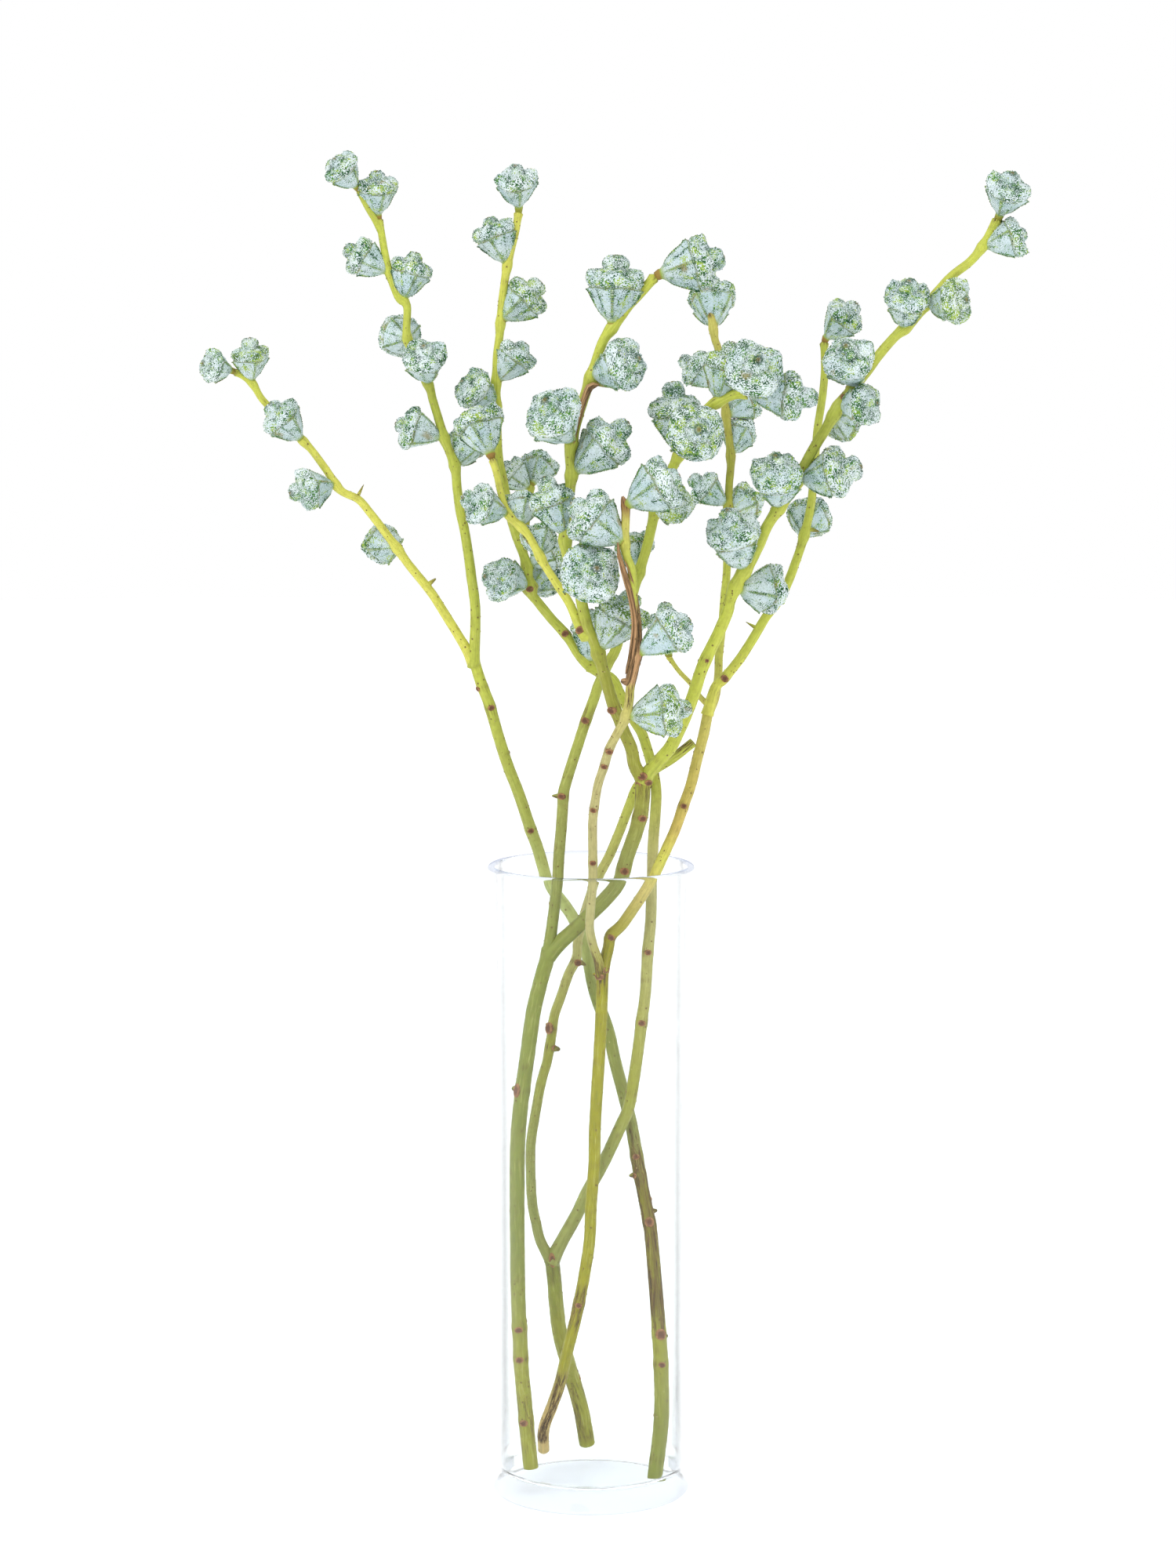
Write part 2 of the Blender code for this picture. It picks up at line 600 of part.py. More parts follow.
def vase_outline():
    """The turned outline of the vase: down its outside, across its underside and up its inside."""
    foot = VASE_FOOT_RADIUS
    rim = VASE_RIM_RADIUS
    wall = VASE_WALL
    round_over = VASE_FOOT_ROUNDING
    lip = wall / 3
    return (
        (foot - round_over, 0.0),
        (foot, round_over),
        (rim, VASE_HEIGHT - lip),
        (rim - lip, VASE_HEIGHT),
        (rim - wall + lip, VASE_HEIGHT),
        (rim - wall, VASE_HEIGHT - lip),
        (foot - wall, VASE_FLOOR + round_over),
        (foot - wall - round_over, VASE_FLOOR),
    )


def vase():
    """The glass cylinder, open at the top, with a thick floor."""
    upward = Vector((0, 0, 1))
    across = Vector((1, 0, 0))
    rings = [ring_around(Vector((0, 0, height)), upward, across, radius, VASE_SEGMENTS)
             for radius, height in vase_outline()]
    mesh = closed_mesh("vase", rings)
    mesh.shade_smooth()
    mesh.set_sharp_from_angle(angle=math.radians(35))
    return link(mesh, "vase", bpy.context.scene.collection)


def plain_material(name, colour, roughness, alpha=1.0):
    """A Principled material with a colour, a roughness and an opacity."""
    material = bpy.data.materials.new(name)
    material.use_nodes = True
    shader = material.node_tree.nodes["Principled BSDF"]
    shader.inputs["Base Color"].default_value = (*colour, 1.0)
    shader.inputs["Roughness"].default_value = roughness
    shader.inputs["Metallic"].default_value = 0.0
    shader.inputs["Alpha"].default_value = alpha
    return material


STEMS = (
    ("stem_a", STEM_A_LIMBS, STEM_A_NUTS, STEM_A_SNAGS),
    ("stem_b", STEM_B_LIMBS, STEM_B_NUTS, STEM_B_SNAGS),
    ("stem_c", STEM_C_LIMBS, STEM_C_NUTS, STEM_C_SNAGS),
    ("stem_d", STEM_D_LIMBS, STEM_D_NUTS, STEM_D_SNAGS),
)


def main():
    """Builds the vase and the four stems."""
    clear_scene()
    glass = plain_material("clear_glass", (0.86, 0.92, 0.90), 0.05, alpha=0.3)
    bark = plain_material("stem_bark", (0.42, 0.46, 0.10), 0.6)
    vase().data.materials.append(glass)
    scene_collection = bpy.context.scene.collection
    for name, limbs, nuts, snags in STEMS:
        pieces = stem_pieces(name, limbs, nuts, snags, scene_collection)
        grown = grown_together(name, pieces, scene_collection)
        grown.data.materials.append(bark)


main()
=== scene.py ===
"""Looks for the gum nut sprigs in their glass cylinder vase.

Four forked stems get swept bark with leaf scars, buds, lenticels and dried strips. Each gum nut is
a ribbed, waxy funnel under a lobed cap, covered in raised warts, with a beaded rim. The vase is
turned in clear glass. Routes are sightings in the photograph: pixels across and down in its
1500 x 2000 frame, with the distance behind the vase's axis in millimetres.
"""
from __future__ import annotations

import logging
import math
import random
import sys
from dataclasses import dataclass, field
from enum import Enum

import bmesh
import bpy
import numpy as np
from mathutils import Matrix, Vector

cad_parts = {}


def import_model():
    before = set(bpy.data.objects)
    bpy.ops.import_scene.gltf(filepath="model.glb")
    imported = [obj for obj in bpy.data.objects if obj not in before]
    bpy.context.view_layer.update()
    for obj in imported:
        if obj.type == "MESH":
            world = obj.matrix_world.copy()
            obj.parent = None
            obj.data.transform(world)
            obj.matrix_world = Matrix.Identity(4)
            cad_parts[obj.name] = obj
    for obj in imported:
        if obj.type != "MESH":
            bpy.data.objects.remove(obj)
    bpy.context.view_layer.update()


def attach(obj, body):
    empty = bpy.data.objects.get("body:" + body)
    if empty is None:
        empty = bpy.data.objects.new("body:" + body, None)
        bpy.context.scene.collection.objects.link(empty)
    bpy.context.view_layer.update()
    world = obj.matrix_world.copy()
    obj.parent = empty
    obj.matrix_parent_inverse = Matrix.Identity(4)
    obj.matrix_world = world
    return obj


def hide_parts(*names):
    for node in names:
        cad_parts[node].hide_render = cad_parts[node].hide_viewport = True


LOG = logging.getLogger("gum_nuts")
MM = 0.001
BODY = "root"
FIRST_SEED = 40

Colour = tuple[float, float, float]
Socket = bpy.types.NodeSocket


def screen_colour(red: int, green: int, blue: int) -> Colour:
    """Turns a colour as a screen shows it into the linear values that shaders use.

    Args:
        red: Red from 0 to 255.
        green: Green from 0 to 255.
        blue: Blue from 0 to 255.

    Returns:
        The three linear values.
    """
    def linear(value: int) -> float:
        """One channel in linear light."""
        share = value / 255
        return share / 12.92 if share <= 0.04045 else ((share + 0.055) / 1.055) ** 2.4
    return linear(red), linear(green), linear(blue)


class Tone(Enum):
    """Colours that the bark takes along the stems."""

    GLAUCOUS = screen_colour(128, 137, 54)
    SAGE = screen_colour(148, 153, 80)
    MIST = screen_colour(188, 198, 124)
    OLIVE = screen_colour(151, 152, 52)
    DARK_OLIVE = screen_colour(126, 120, 36)
    MUSTARD = screen_colour(152, 147, 22)
    CREAM = screen_colour(208, 190, 110)
    PALE = screen_colour(190, 184, 122)
    MOSS = screen_colour(164, 171, 78)
    LEAF = screen_colour(182, 190, 72)
    LIME = screen_colour(197, 204, 76)
    YELLOW = screen_colour(214, 212, 90)
    STRAW = screen_colour(200, 192, 94)
    APRICOT = screen_colour(206, 183, 92)
    PINK_BEIGE = screen_colour(184, 176, 116)
    RUSSET = screen_colour(204, 178, 112)
    WOODY = screen_colour(188, 144, 102)
    RUST = screen_colour(150, 98, 62)


@dataclass(frozen=True)
class Viewpoint:
    """Where the photograph was taken from, relative to the vase's foot, in metres."""

    distance: float = 1.925
    height: float = 0.581
    across: float = -0.0015
    tilt_down: float = math.radians(6.87)
    focal_pixels: float = 5128
    frame_height: float = 2000
    centre_across: float = 750
    centre_down: float = 1000
    sensor: float = 36.0

    def place(self, across: float, down: float, behind: float) -> Vector:
        """Finds the point at a pixel of the photograph.

        Args:
            across: Pixels from the left edge.
            down: Pixels from the top edge.
            behind: Distance behind the vase's axis, in metres.

        Returns:
            The point, in metres.
        """
        ahead = Vector((0, math.cos(self.tilt_down), -math.sin(self.tilt_down)))
        up = Vector((0, math.sin(self.tilt_down), math.cos(self.tilt_down)))
        ray = ahead + up * (self.centre_down - down) / self.focal_pixels
        ray.x += (across - self.centre_across) / self.focal_pixels
        eye = Vector((self.across, -self.distance, self.height))
        return eye + ray * (behind - eye.y) / ray.y

    def camera(self) -> bpy.types.Object:
        """Makes the camera at this viewpoint."""
        data = bpy.data.cameras.new("camera")
        data.sensor_width = self.sensor
        data.lens = self.focal_pixels / self.frame_height * self.sensor
        data.clip_end = 20
        item = put_in_scene("camera", data)
        item.location = (self.across, -self.distance, self.height)
        item.rotation_euler = (math.radians(90) - self.tilt_down, 0, 0)
        return item


VIEW = Viewpoint()
VASE_FLOOR = 11 * MM
REST_GAP = 0.3 * MM


@dataclass(frozen=True)
class Limb:
    """A length of stem: its route in the picture and its place behind the vase's axis.

    behind gives pairs of pixels down and millimetres behind the axis, read along the route.
    Thickness and foot are in millimetres.
    """

    name: str
    thick: float
    thin: float
    route: tuple
    behind: tuple
    foot: tuple = ()


@dataclass(frozen=True)
class Nut:
    """A gum nut on a limb: crown centre and base in the picture, and its width in millimetres.

    facing is -1 where the crown tips toward the photographer, and +1 where it tips away.
    """

    limb: str
    crown: tuple
    base: tuple
    width: float
    facing: int = -1


@dataclass(frozen=True)
class Snag:
    """A bud, stub or thorn that stands out from a limb to a tip in the picture."""

    limb: str
    tip: tuple
    root: float
    end: float
    lift: float = 0.0


@dataclass(frozen=True)
class Scar:
    """A leaf scar on the photographed side of a limb: its place, width and relative height."""

    limb: str
    place: tuple
    width: float
    tallness: float = 1.0


def pairs(*values: float) -> tuple[tuple[float, float], ...]:
    """Gathers values two by two."""
    return tuple(zip(values[::2], values[1::2]))


def nuts_on(limb: str, *rows: tuple) -> tuple[Nut, ...]:
    """Gum nuts on one limb.

    Args:
        limb: The limb's name.
        *rows: Each nut's crown and base in the picture as four pixels, its width and facing.

    Returns:
        The nuts.
    """
    return tuple(Nut(limb, row[:2], row[2:4], *row[4:]) for row in rows)


def scars_on(limb: str, *rows: tuple) -> tuple[Scar, ...]:
    """Leaf scars on one limb.

    Args:
        limb: The limb's name.
        *rows: Each scar's place in the picture as two pixels, its width and relative height.

    Returns:
        The scars.
    """
    return tuple(Scar(limb, row[:2], *row[2:]) for row in rows)


# Stem A, the straight stem at the left of the vase, with sprays 4, 5 and 6

STEM_A_LIMBS = (
    Limb("a_trunk", 7.3, 7.2, route=pairs(
        673, 1832, 669, 1788, 665, 1745, 663, 1702, 661, 1655, 660, 1579, 660, 1502, 661, 1451,
        666, 1397, 673, 1346, 680, 1295, 689, 1257, 697, 1229, 700, 1214
    ), behind=pairs(
        1832, -4, 1700, -7, 1502, -12, 1397, -12, 1295, -10, 1214, -6
    ), foot=(-29.5, -4.0)),
    Limb("a_left", 5.6, 4.5, route=pairs(
        699, 1222, 703, 1193, 707, 1162, 711, 1127, 713, 1091, 716, 1055, 718, 1025, 719, 1010,
        726, 985, 736, 954, 746, 923, 758, 890, 764, 872, 777, 844, 785, 829, 799, 785, 812, 740,
        822, 708, 828, 686, 835, 655, 847, 621, 862, 588, 880, 556, 900, 524, 925, 508, 950, 499
    ), behind=pairs(
        1222, -6, 1122, -10, 1025, -8, 872, -8, 740, -12, 655, -18, 588, -30, 524, -42, 499, -47
    )),
    Limb("a_right", 7.0, 7.3, route=pairs(
        699, 1222, 715, 1206, 733, 1190, 753, 1170, 773, 1150, 789, 1129, 800, 1092, 811, 1061,
        818, 1033, 820, 1005, 821, 988
    ), behind=pairs(1222, -6, 1170, -12, 1061, -16, 988, -20)),
    Limb("spray_5", 6.0, 4.4, route=pairs(
        821, 995, 810, 977, 805, 954, 797, 936, 790, 918, 782, 898, 774, 872, 767, 847, 759, 821,
        750, 801, 744, 778, 738, 750, 728, 722, 721, 693, 723, 655, 727, 624, 729, 602, 727, 579,
        730, 561, 735, 539, 741, 519, 747, 501, 752, 485, 758, 468, 768, 438, 777, 423, 789, 408,
        802, 390, 817, 374, 830, 359, 837, 351
    ), behind=pairs(
        995, -19, 950, -28, 898, -36, 847, -40, 765, -42, 600, -42, 500, -40, 400, -38, 351, -36
    )),
    Limb("spray_3b", 4.4, 3.2, route=pairs(
        746, 812, 736, 792, 726, 769, 713, 749, 698, 726, 685, 703, 672, 680, 649, 657, 639, 629,
        634, 606, 627, 583
    ), behind=pairs(812, -40, 749, -32, 680, -26, 583, -20)),
    Limb("spray_6", 6.4, 4.0, route=pairs(
        820, 998, 828, 984, 838, 973, 848, 962, 857, 950, 872, 918, 885, 885, 892, 862, 902, 837,
        915, 811, 928, 780, 931, 766, 942, 740, 954, 722, 967, 697, 977, 674, 990, 653, 1003, 636,
        1016, 615, 1028, 590, 1041, 567, 1054, 546, 1067, 523, 1077, 508, 1086, 498, 1105, 475,
        1121, 453, 1142, 429, 1161, 413, 1180, 390, 1212, 354, 1236, 335, 1250, 319, 1260, 303,
        1268, 287, 1274, 278
    ), behind=pairs(
        998, -19, 950, -24, 800, -25, 700, -28, 600, -30, 500, -28, 400, -20, 278, -12
    )),
)

STEM_A_NUTS = (
    *nuts_on("a_left", (808, 690, 818, 733, 19, +1), (862, 638, 833, 650, 20.5, -1),
             (860, 511, 858, 578, 24.5, -1), (889, 550, 880, 562, 26, -1),
             (930, 455, 905, 505, 20.5, +1), (964, 466, 950, 490, 27, -1),
             (1019, 506, 962, 505, 23, -1)),
    *nuts_on("spray_5", (904, 333, 844, 356, 25, -1), (785, 348, 774, 412, 25.5, -1),
             (805, 461, 757, 482, 24.5, -1), (701, 520, 723, 564, 27, -1),
             (783, 556, 745, 607, 25, -1), (698, 619, 708, 686, 21.5, -1),
             (756, 729, 738, 745, 27.5, -1), (800, 772, 775, 829, 24, -1)),
    *nuts_on("spray_3b", (608, 530, 627, 581, 23, +1), (605, 640, 646, 657, 19.5, -1),
             (663, 638, 669, 667, 17, +1), (687, 682, 690, 708, 17, +1)),
    *nuts_on("spray_6", (933, 670, 940, 724, 26, -1), (990, 752, 948, 755, 23, +1),
             (990, 598, 983, 641, 24.5, -1), (1076, 600, 1027, 618, 24, -1),
             (1110, 515, 1081, 527, 19.5, -1), (1078, 540, 1064, 533, 18, +1),
             (1081, 451, 1087, 491, 24, -1), (1158, 372, 1148, 416, 21.5, -1),
             (1226, 383, 1184, 392, 21, -1), (1288, 233, 1274, 276, 20.5, -1),
             (1301, 300, 1263, 322, 19, -1)),
)

STEM_A_SNAGS = (
    Snag("a_trunk", (653, 1390), 3.2, 1.4),
    Snag("a_left", (704, 1015), 2.2, 0.8),
    Snag("a_right", (832, 1003), 3.0, 1.2),
    Snag("spray_5", (778, 494), 1.8, 0.8),
    Snag("spray_5", (795, 925), 2.4, 1.0),
)

# Stem B, the thickest foot, with a cut left arm and the right arm that becomes spray 3a

STEM_B_LIMBS = (
    Limb("b_trunk", 8.2, 7.2, route=pairs(
        741, 1799, 732, 1767, 721, 1730, 712, 1692, 706, 1630, 703, 1606
    ), behind=pairs(1799, 32, 1767, 28, 1720, 19, 1692, 14, 1606, 6), foot=(-2.0, 37.5)),
    Limb("b_left", 5.0, 4.6, route=pairs(
        703, 1612, 689, 1586, 683, 1563, 678, 1538, 676, 1502, 676, 1464, 681, 1430, 689, 1387,
        697, 1359, 702, 1331, 706, 1303, 715, 1277, 725, 1249, 735, 1229, 737, 1205, 746, 1172,
        753, 1150, 764, 1117, 777, 1092, 790, 1061, 802, 1030, 813, 1003, 832, 984, 857, 968,
        884, 947
    ), behind=pairs(
        1612, 6, 1502, 6, 1400, 8, 1303, 10, 1229, 14, 1165, 15, 1092, 12, 1030, 6, 985, 0, 947, -3
    )),
    Limb("b_right", 6.4, 4.8, route=pairs(
        703, 1612, 712, 1594, 722, 1576, 735, 1553, 750, 1522, 763, 1499, 776, 1474, 789, 1446,
        801, 1420, 807, 1392, 814, 1346, 819, 1308, 824, 1270, 827, 1219, 831, 1178, 832, 1124,
        833, 1078, 837, 1015, 833, 984, 825, 954, 818, 934, 805, 913, 791, 885, 782, 867, 766, 857,
        751, 849
    ), behind=pairs(
        1612, 6, 1576, 5, 1500, 4, 1430, -1, 1219, -1, 1124, 4, 1015, 9, 954, 12, 849, 14
    )),
    Limb("spray_3a", 4.9, 3.6, route=pairs(
        766, 857, 751, 849, 738, 834, 723, 811, 703, 789, 687, 769, 677, 754, 670, 715, 659, 685,
        652, 662, 646, 634, 641, 608, 636, 583, 634, 537, 633, 492, 634, 453, 637, 430, 640, 390,
        643, 364, 647, 339, 652, 318, 658, 293, 662, 268
    ), behind=pairs(857, 14, 754, 12, 662, 12, 450, 10, 268, 8)),
    Limb("spray_3a_back", 3.0, 2.6, route=pairs(
        668, 705, 672, 668, 676, 640, 677, 618
    ), behind=pairs(705, 12, 618, 32)),
)

STEM_B_NUTS = (
    *nuts_on("spray_3a", (658, 222, 662, 264, 19.5, -1), (627, 288, 636, 337, 20, -1),
             (678, 372, 648, 411, 20.5, -1), (665, 445, 643, 489, 18, -1),
             (598, 492, 632, 517, 19.5, -1), (632, 738, 670, 748, 21, -1),
             (695, 733, 677, 752, 20, +1), (711, 700, 672, 722, 18, +1)),
    *nuts_on("b_right", (755, 778, 748, 845, 20, +1)),
    *nuts_on("spray_3a_back", (646, 598, 675, 624, 15.5, +1), (690, 588, 677, 620, 18, +1)),
)

STEM_B_SNAGS = (
    Snag("b_left", (695, 1312), 2.0, 0.8),
    Snag("b_left", (714, 1344), 2.4, 1.2),
    Snag("b_left", (747, 1238), 2.2, 0.9),
    Snag("b_trunk", (691, 1601), 3.0, 1.2),
)

# Stem C, with a cut left arm, the back spray 7 and spray 8

STEM_C_LIMBS = (
    Limb("c_trunk", 5.8, 5.8, route=pairs(
        693, 1823, 704, 1793, 714, 1765, 725, 1719, 735, 1680, 745, 1630, 752, 1584, 754, 1538,
        758, 1487, 759, 1438, 763, 1372, 766, 1321, 768, 1270, 768, 1240
    ), behind=pairs(
        1823, 19, 1765, 8, 1719, -2, 1630, -6, 1500, -8, 1240, -10
    ), foot=(-24.0, 26.0)),
    Limb("c_left", 4.4, 4.0, route=pairs(
        767, 1251, 763, 1229, 756, 1208, 752, 1185, 754, 1155, 756, 1124, 756, 1079, 756, 1048,
        759, 1023, 763, 1000, 770, 979, 777, 956, 787, 936, 797, 918, 802, 898, 804, 877, 809, 855,
        813, 827, 813, 799, 809, 771, 806, 729, 799, 708, 797, 688, 798, 651, 794, 633
    ), behind=pairs(
        1251, -10, 1165, -26, 1079, -32, 1000, -46, 918, -60, 855, -64, 771, -66, 633, -62
    )),
    Limb("c_right", 5.4, 5.2, route=pairs(
        768, 1243, 776, 1213, 779, 1198, 794, 1183, 812, 1157, 827, 1134, 837, 1111, 850, 1083,
        862, 1056, 871, 1030, 881, 1002, 889, 969, 897, 939, 904, 904
    ), behind=pairs(1243, -10, 1117, -13, 1030, -2, 969, 10, 904, 16)),
    Limb("spray_7", 4.2, 3.6, route=pairs(
        904, 908, 912, 890, 916, 862, 917, 837, 921, 799, 924, 760, 927, 728, 929, 648, 930, 620,
        932, 582, 925, 520, 917, 451, 912, 433, 908, 408, 905, 399
    ), behind=pairs(908, 16, 862, 32, 799, 50, 728, 62, 620, 70, 399, 70)),
    Limb("spray_8", 5.0, 3.6, route=pairs(
        902, 912, 912, 878, 924, 865, 944, 840, 962, 812, 977, 787, 993, 767, 1005, 743, 1013, 722,
        1021, 699, 1028, 674, 1034, 646, 1037, 620, 1042, 554, 1046, 526, 1050, 498, 1052, 470,
        1051, 434
    ), behind=pairs(912, 15, 767, 16, 646, 16, 554, 18, 434, 20)),
    Limb("c_twig", 2.6, 2.2, route=pairs(
        904, 900, 893, 889, 881, 872, 866, 856, 853, 838
    ), behind=pairs(900, 16, 838, 34)),
)

STEM_C_NUTS = (
    *nuts_on("c_left", (855, 612, 805, 644, 24.5, -1), (742, 652, 789, 695, 25, -1),
             (872, 795, 825, 837, 23, -1), (864, 905, 810, 916, 23.5, -1)),
    *nuts_on("spray_7", (908, 372, 903, 420, 23.5, +1), (880, 465, 915, 494, 18.5, +1),
             (943, 545, 931, 581, 18.5, +1), (893, 618, 922, 645, 17.5, +1),
             (958, 636, 932, 658, 18.5, +1), (955, 512, 926, 530, 17.5, +1)),
    *nuts_on("spray_8", (1083, 398, 1053, 432, 19.5, -1), (1034, 655, 1032, 684, 21.5, +1)),
    *nuts_on("c_twig", (848, 768, 853, 836, 19, +1)),
)

STEM_C_SNAGS = (
    Snag("c_left", (792, 868), 2.4, 1.6),
    Snag("spray_8", (951, 793), 1.4, 0.3),
    Snag("spray_8", (1045, 678), 1.8, 0.6),
    Snag("c_trunk", (756, 1247), 2.2, 0.8),
)

# Stem D, at the right of the vase, which leans left and carries sprays 1 and 2

STEM_D_LIMBS = (
    Limb("d_trunk", 7.0, 5.4, route=pairs(
        842, 1810, 842, 1745, 840, 1702, 837, 1655, 831, 1579, 827, 1553, 817, 1502, 809, 1456,
        804, 1431, 795, 1397, 784, 1356, 776, 1321, 758, 1270, 747, 1219, 733, 1185, 720, 1165,
        702, 1142, 697, 1122, 687, 1086, 677, 1058, 662, 1013, 647, 974, 634, 933, 624, 898,
        614, 872, 606, 847, 603, 836
    ), behind=pairs(
        1810, -21, 1745, -18, 1702, -15, 1579, -5, 1430, 11, 1290, 22, 1165, 30, 1086, 30, 900, 22,
        836, 20
    ), foot=(30.5, -22.0)),
    Limb("spray_2", 5.2, 3.4, route=pairs(
        604, 848, 606, 810, 606, 773, 601, 734, 597, 704, 592, 674, 587, 652, 583, 622, 580, 594,
        568, 563, 559, 533, 552, 510, 547, 492, 530, 460, 519, 428, 519, 390, 507, 377, 497, 349,
        490, 318, 485, 288, 482, 278
    ), behind=pairs(848, 20, 700, 14, 500, 10, 278, 8)),
    Limb("spray_2_tip", 3.2, 2.8, route=pairs(
        486, 296, 478, 280, 469, 265, 456, 240
    ), behind=pairs(296, 8, 240, 2)),
    Limb("spray_1", 4.8, 3.2, route=pairs(
        604, 848, 596, 830, 583, 808, 568, 784, 553, 760, 540, 743, 522, 721, 507, 700, 492, 680,
        472, 654, 457, 637, 434, 625, 416, 599, 399, 576, 387, 563, 361, 536, 335, 510, 322, 489,
        309, 479, 297, 473
    ), behind=pairs(848, 20, 680, 24, 473, 28)),
)

STEM_D_NUTS = (
    *nuts_on("spray_1", (265, 465, 297, 474, 16, -1), (319, 445, 325, 484, 17.5, -1),
             (352, 525, 386, 563, 20.5, -1), (385, 626, 424, 620, 19.5, -1),
             (484, 693, 505, 699, 19, +1)),
    *nuts_on("spray_2_tip", (431, 208, 454, 238, 17.5, -1)),
    *nuts_on("spray_2", (481, 230, 483, 276, 19, -1), (450, 322, 493, 349, 17.5, -1),
             (527, 335, 518, 381, 19.5, -1), (508, 428, 520, 432, 20, +1),
             (541, 448, 546, 490, 21, -1), (515, 543, 560, 561, 21, -1),
             (598, 560, 582, 596, 19, +1)),
)

STEM_D_SNAGS = (
    Snag("d_trunk", (851, 1704), 2.6, 1.2),
    Snag("d_trunk", (839, 1546), 2.4, 1.0),
    Snag("d_trunk", (803, 1503), 2.6, 1.0),
    Snag("spray_1", (464, 618), 1.3, 0.3),
    Snag("spray_1", (556, 738), 1.6, 0.7),
)


# The order of tones up each limb, at pixels down the picture

LIMB_TONES = {
    "a_trunk": ((1880, Tone.OLIVE), (1740, Tone.OLIVE), (1600, Tone.GLAUCOUS),
                (1300, Tone.GLAUCOUS)),
    "a_left": ((1220, Tone.GLAUCOUS), (1080, Tone.SAGE), (950, Tone.MOSS),
               (800, Tone.LEAF), (520, Tone.LIME)),
    "a_right": ((1220, Tone.GLAUCOUS), (1100, Tone.SAGE), (1000, Tone.OLIVE)),
    "spray_5": ((990, Tone.OLIVE), (880, Tone.OLIVE), (760, Tone.LEAF),
                (560, Tone.LEAF), (400, Tone.LIME)),
    "spray_3b": ((810, Tone.LIME), (740, Tone.YELLOW)),
    "spray_6": ((990, Tone.LEAF), (880, Tone.LIME), (520, Tone.LEAF),
                (340, Tone.LIME)),
    "b_trunk": ((1850, Tone.OLIVE), (1700, Tone.OLIVE), (1610, Tone.GLAUCOUS)),
    "b_left": ((1610, Tone.SAGE), (1480, Tone.SAGE), (1330, Tone.OLIVE),
               (1170, Tone.PALE), (1000, Tone.LEAF)),
    "b_right": ((1610, Tone.SAGE), (1480, Tone.SAGE), (1390, Tone.OLIVE),
                (1100, Tone.PALE), (1000, Tone.LEAF), (860, Tone.LEAF)),
    "spray_3a": ((860, Tone.LEAF), (600, Tone.LEAF), (480, Tone.LIME),
                 (300, Tone.YELLOW)),
    "spray_3a_back": ((705, Tone.MOSS), (620, Tone.LEAF)),
    "c_trunk": ((1850, Tone.RUSSET), (1795, Tone.RUSSET), (1740, Tone.MUSTARD),
                (1500, Tone.MUSTARD), (1250, Tone.MUSTARD)),
    "c_left": ((1250, Tone.MUSTARD), (1190, Tone.PINK_BEIGE),
               (960, Tone.PINK_BEIGE),
               (878, Tone.STRAW), (868, Tone.WOODY), (782, Tone.WOODY),
               (766, Tone.LEAF), (720, Tone.LEAF), (665, Tone.STRAW),
               (645, Tone.RUST), (633, Tone.WOODY)),
    "c_right": ((1250, Tone.MUSTARD), (1200, Tone.MUSTARD), (1140, Tone.CREAM),
                (1096, Tone.YELLOW),
                (1060, Tone.APRICOT), (904, Tone.STRAW)),
    "spray_7": ((904, Tone.STRAW), (760, Tone.LIME), (600, Tone.OLIVE),
                (400, Tone.STRAW)),
    "spray_8": ((904, Tone.YELLOW), (820, Tone.LIME), (650, Tone.LEAF),
                (500, Tone.LEAF)),
    "c_twig": ((900, Tone.STRAW), (838, Tone.YELLOW)),
    "d_trunk": ((1890, Tone.GLAUCOUS), (1700, Tone.OLIVE), (1655, Tone.DARK_OLIVE),
                (1520, Tone.DARK_OLIVE), (1450, Tone.SAGE), (1300, Tone.GLAUCOUS),
                (1142, Tone.MIST), (1040, Tone.MOSS), (900, Tone.LEAF),
                (840, Tone.LIME)),
    "spray_2": ((840, Tone.LEAF), (620, Tone.LEAF), (480, Tone.LEAF),
                (300, Tone.LIME)),
    "spray_2_tip": ((296, Tone.LIME), (240, Tone.LEAF)),
    "spray_1": ((840, Tone.YELLOW), (600, Tone.YELLOW), (473, Tone.LIME)),
}


@dataclass(frozen=True)
class WornStretch:
    """A stretch of a limb where the bark is browned, between two pixels down the picture."""

    limb: str
    low: float
    high: float
    amount: float


WORN_STRETCHES = (
    WornStretch("c_left", 874, 776, 0.75),
    WornStretch("d_trunk", 1700, 1470, 0.66),
    WornStretch("d_trunk", 1500, 1430, 0.45),
    WornStretch("c_trunk", 1850, 1750, 0.85),
    WornStretch("c_trunk", 1700, 1640, 0.45),
    WornStretch("b_trunk", 1640, 1595, 0.25),
    WornStretch("b_trunk", 1850, 1760, 0.35),
    WornStretch("a_trunk", 1860, 1780, 0.4),
    WornStretch("c_trunk", 1275, 1235, 0.6),
    WornStretch("c_left", 1250, 1215, 0.6),
    WornStretch("c_right", 1243, 1190, 0.2),
    WornStretch("c_left", 900, 850, 0.6),
    WornStretch("c_left", 668, 633, 1.0),
    WornStretch("b_left", 965, 930, 0.7),
    WornStretch("a_right", 1020, 970, 0.4),
    WornStretch("a_left", 930, 900, 0.35),
    WornStretch("b_right", 1000, 965, 0.4),
)


# Dried woody strips that lie along two limbs

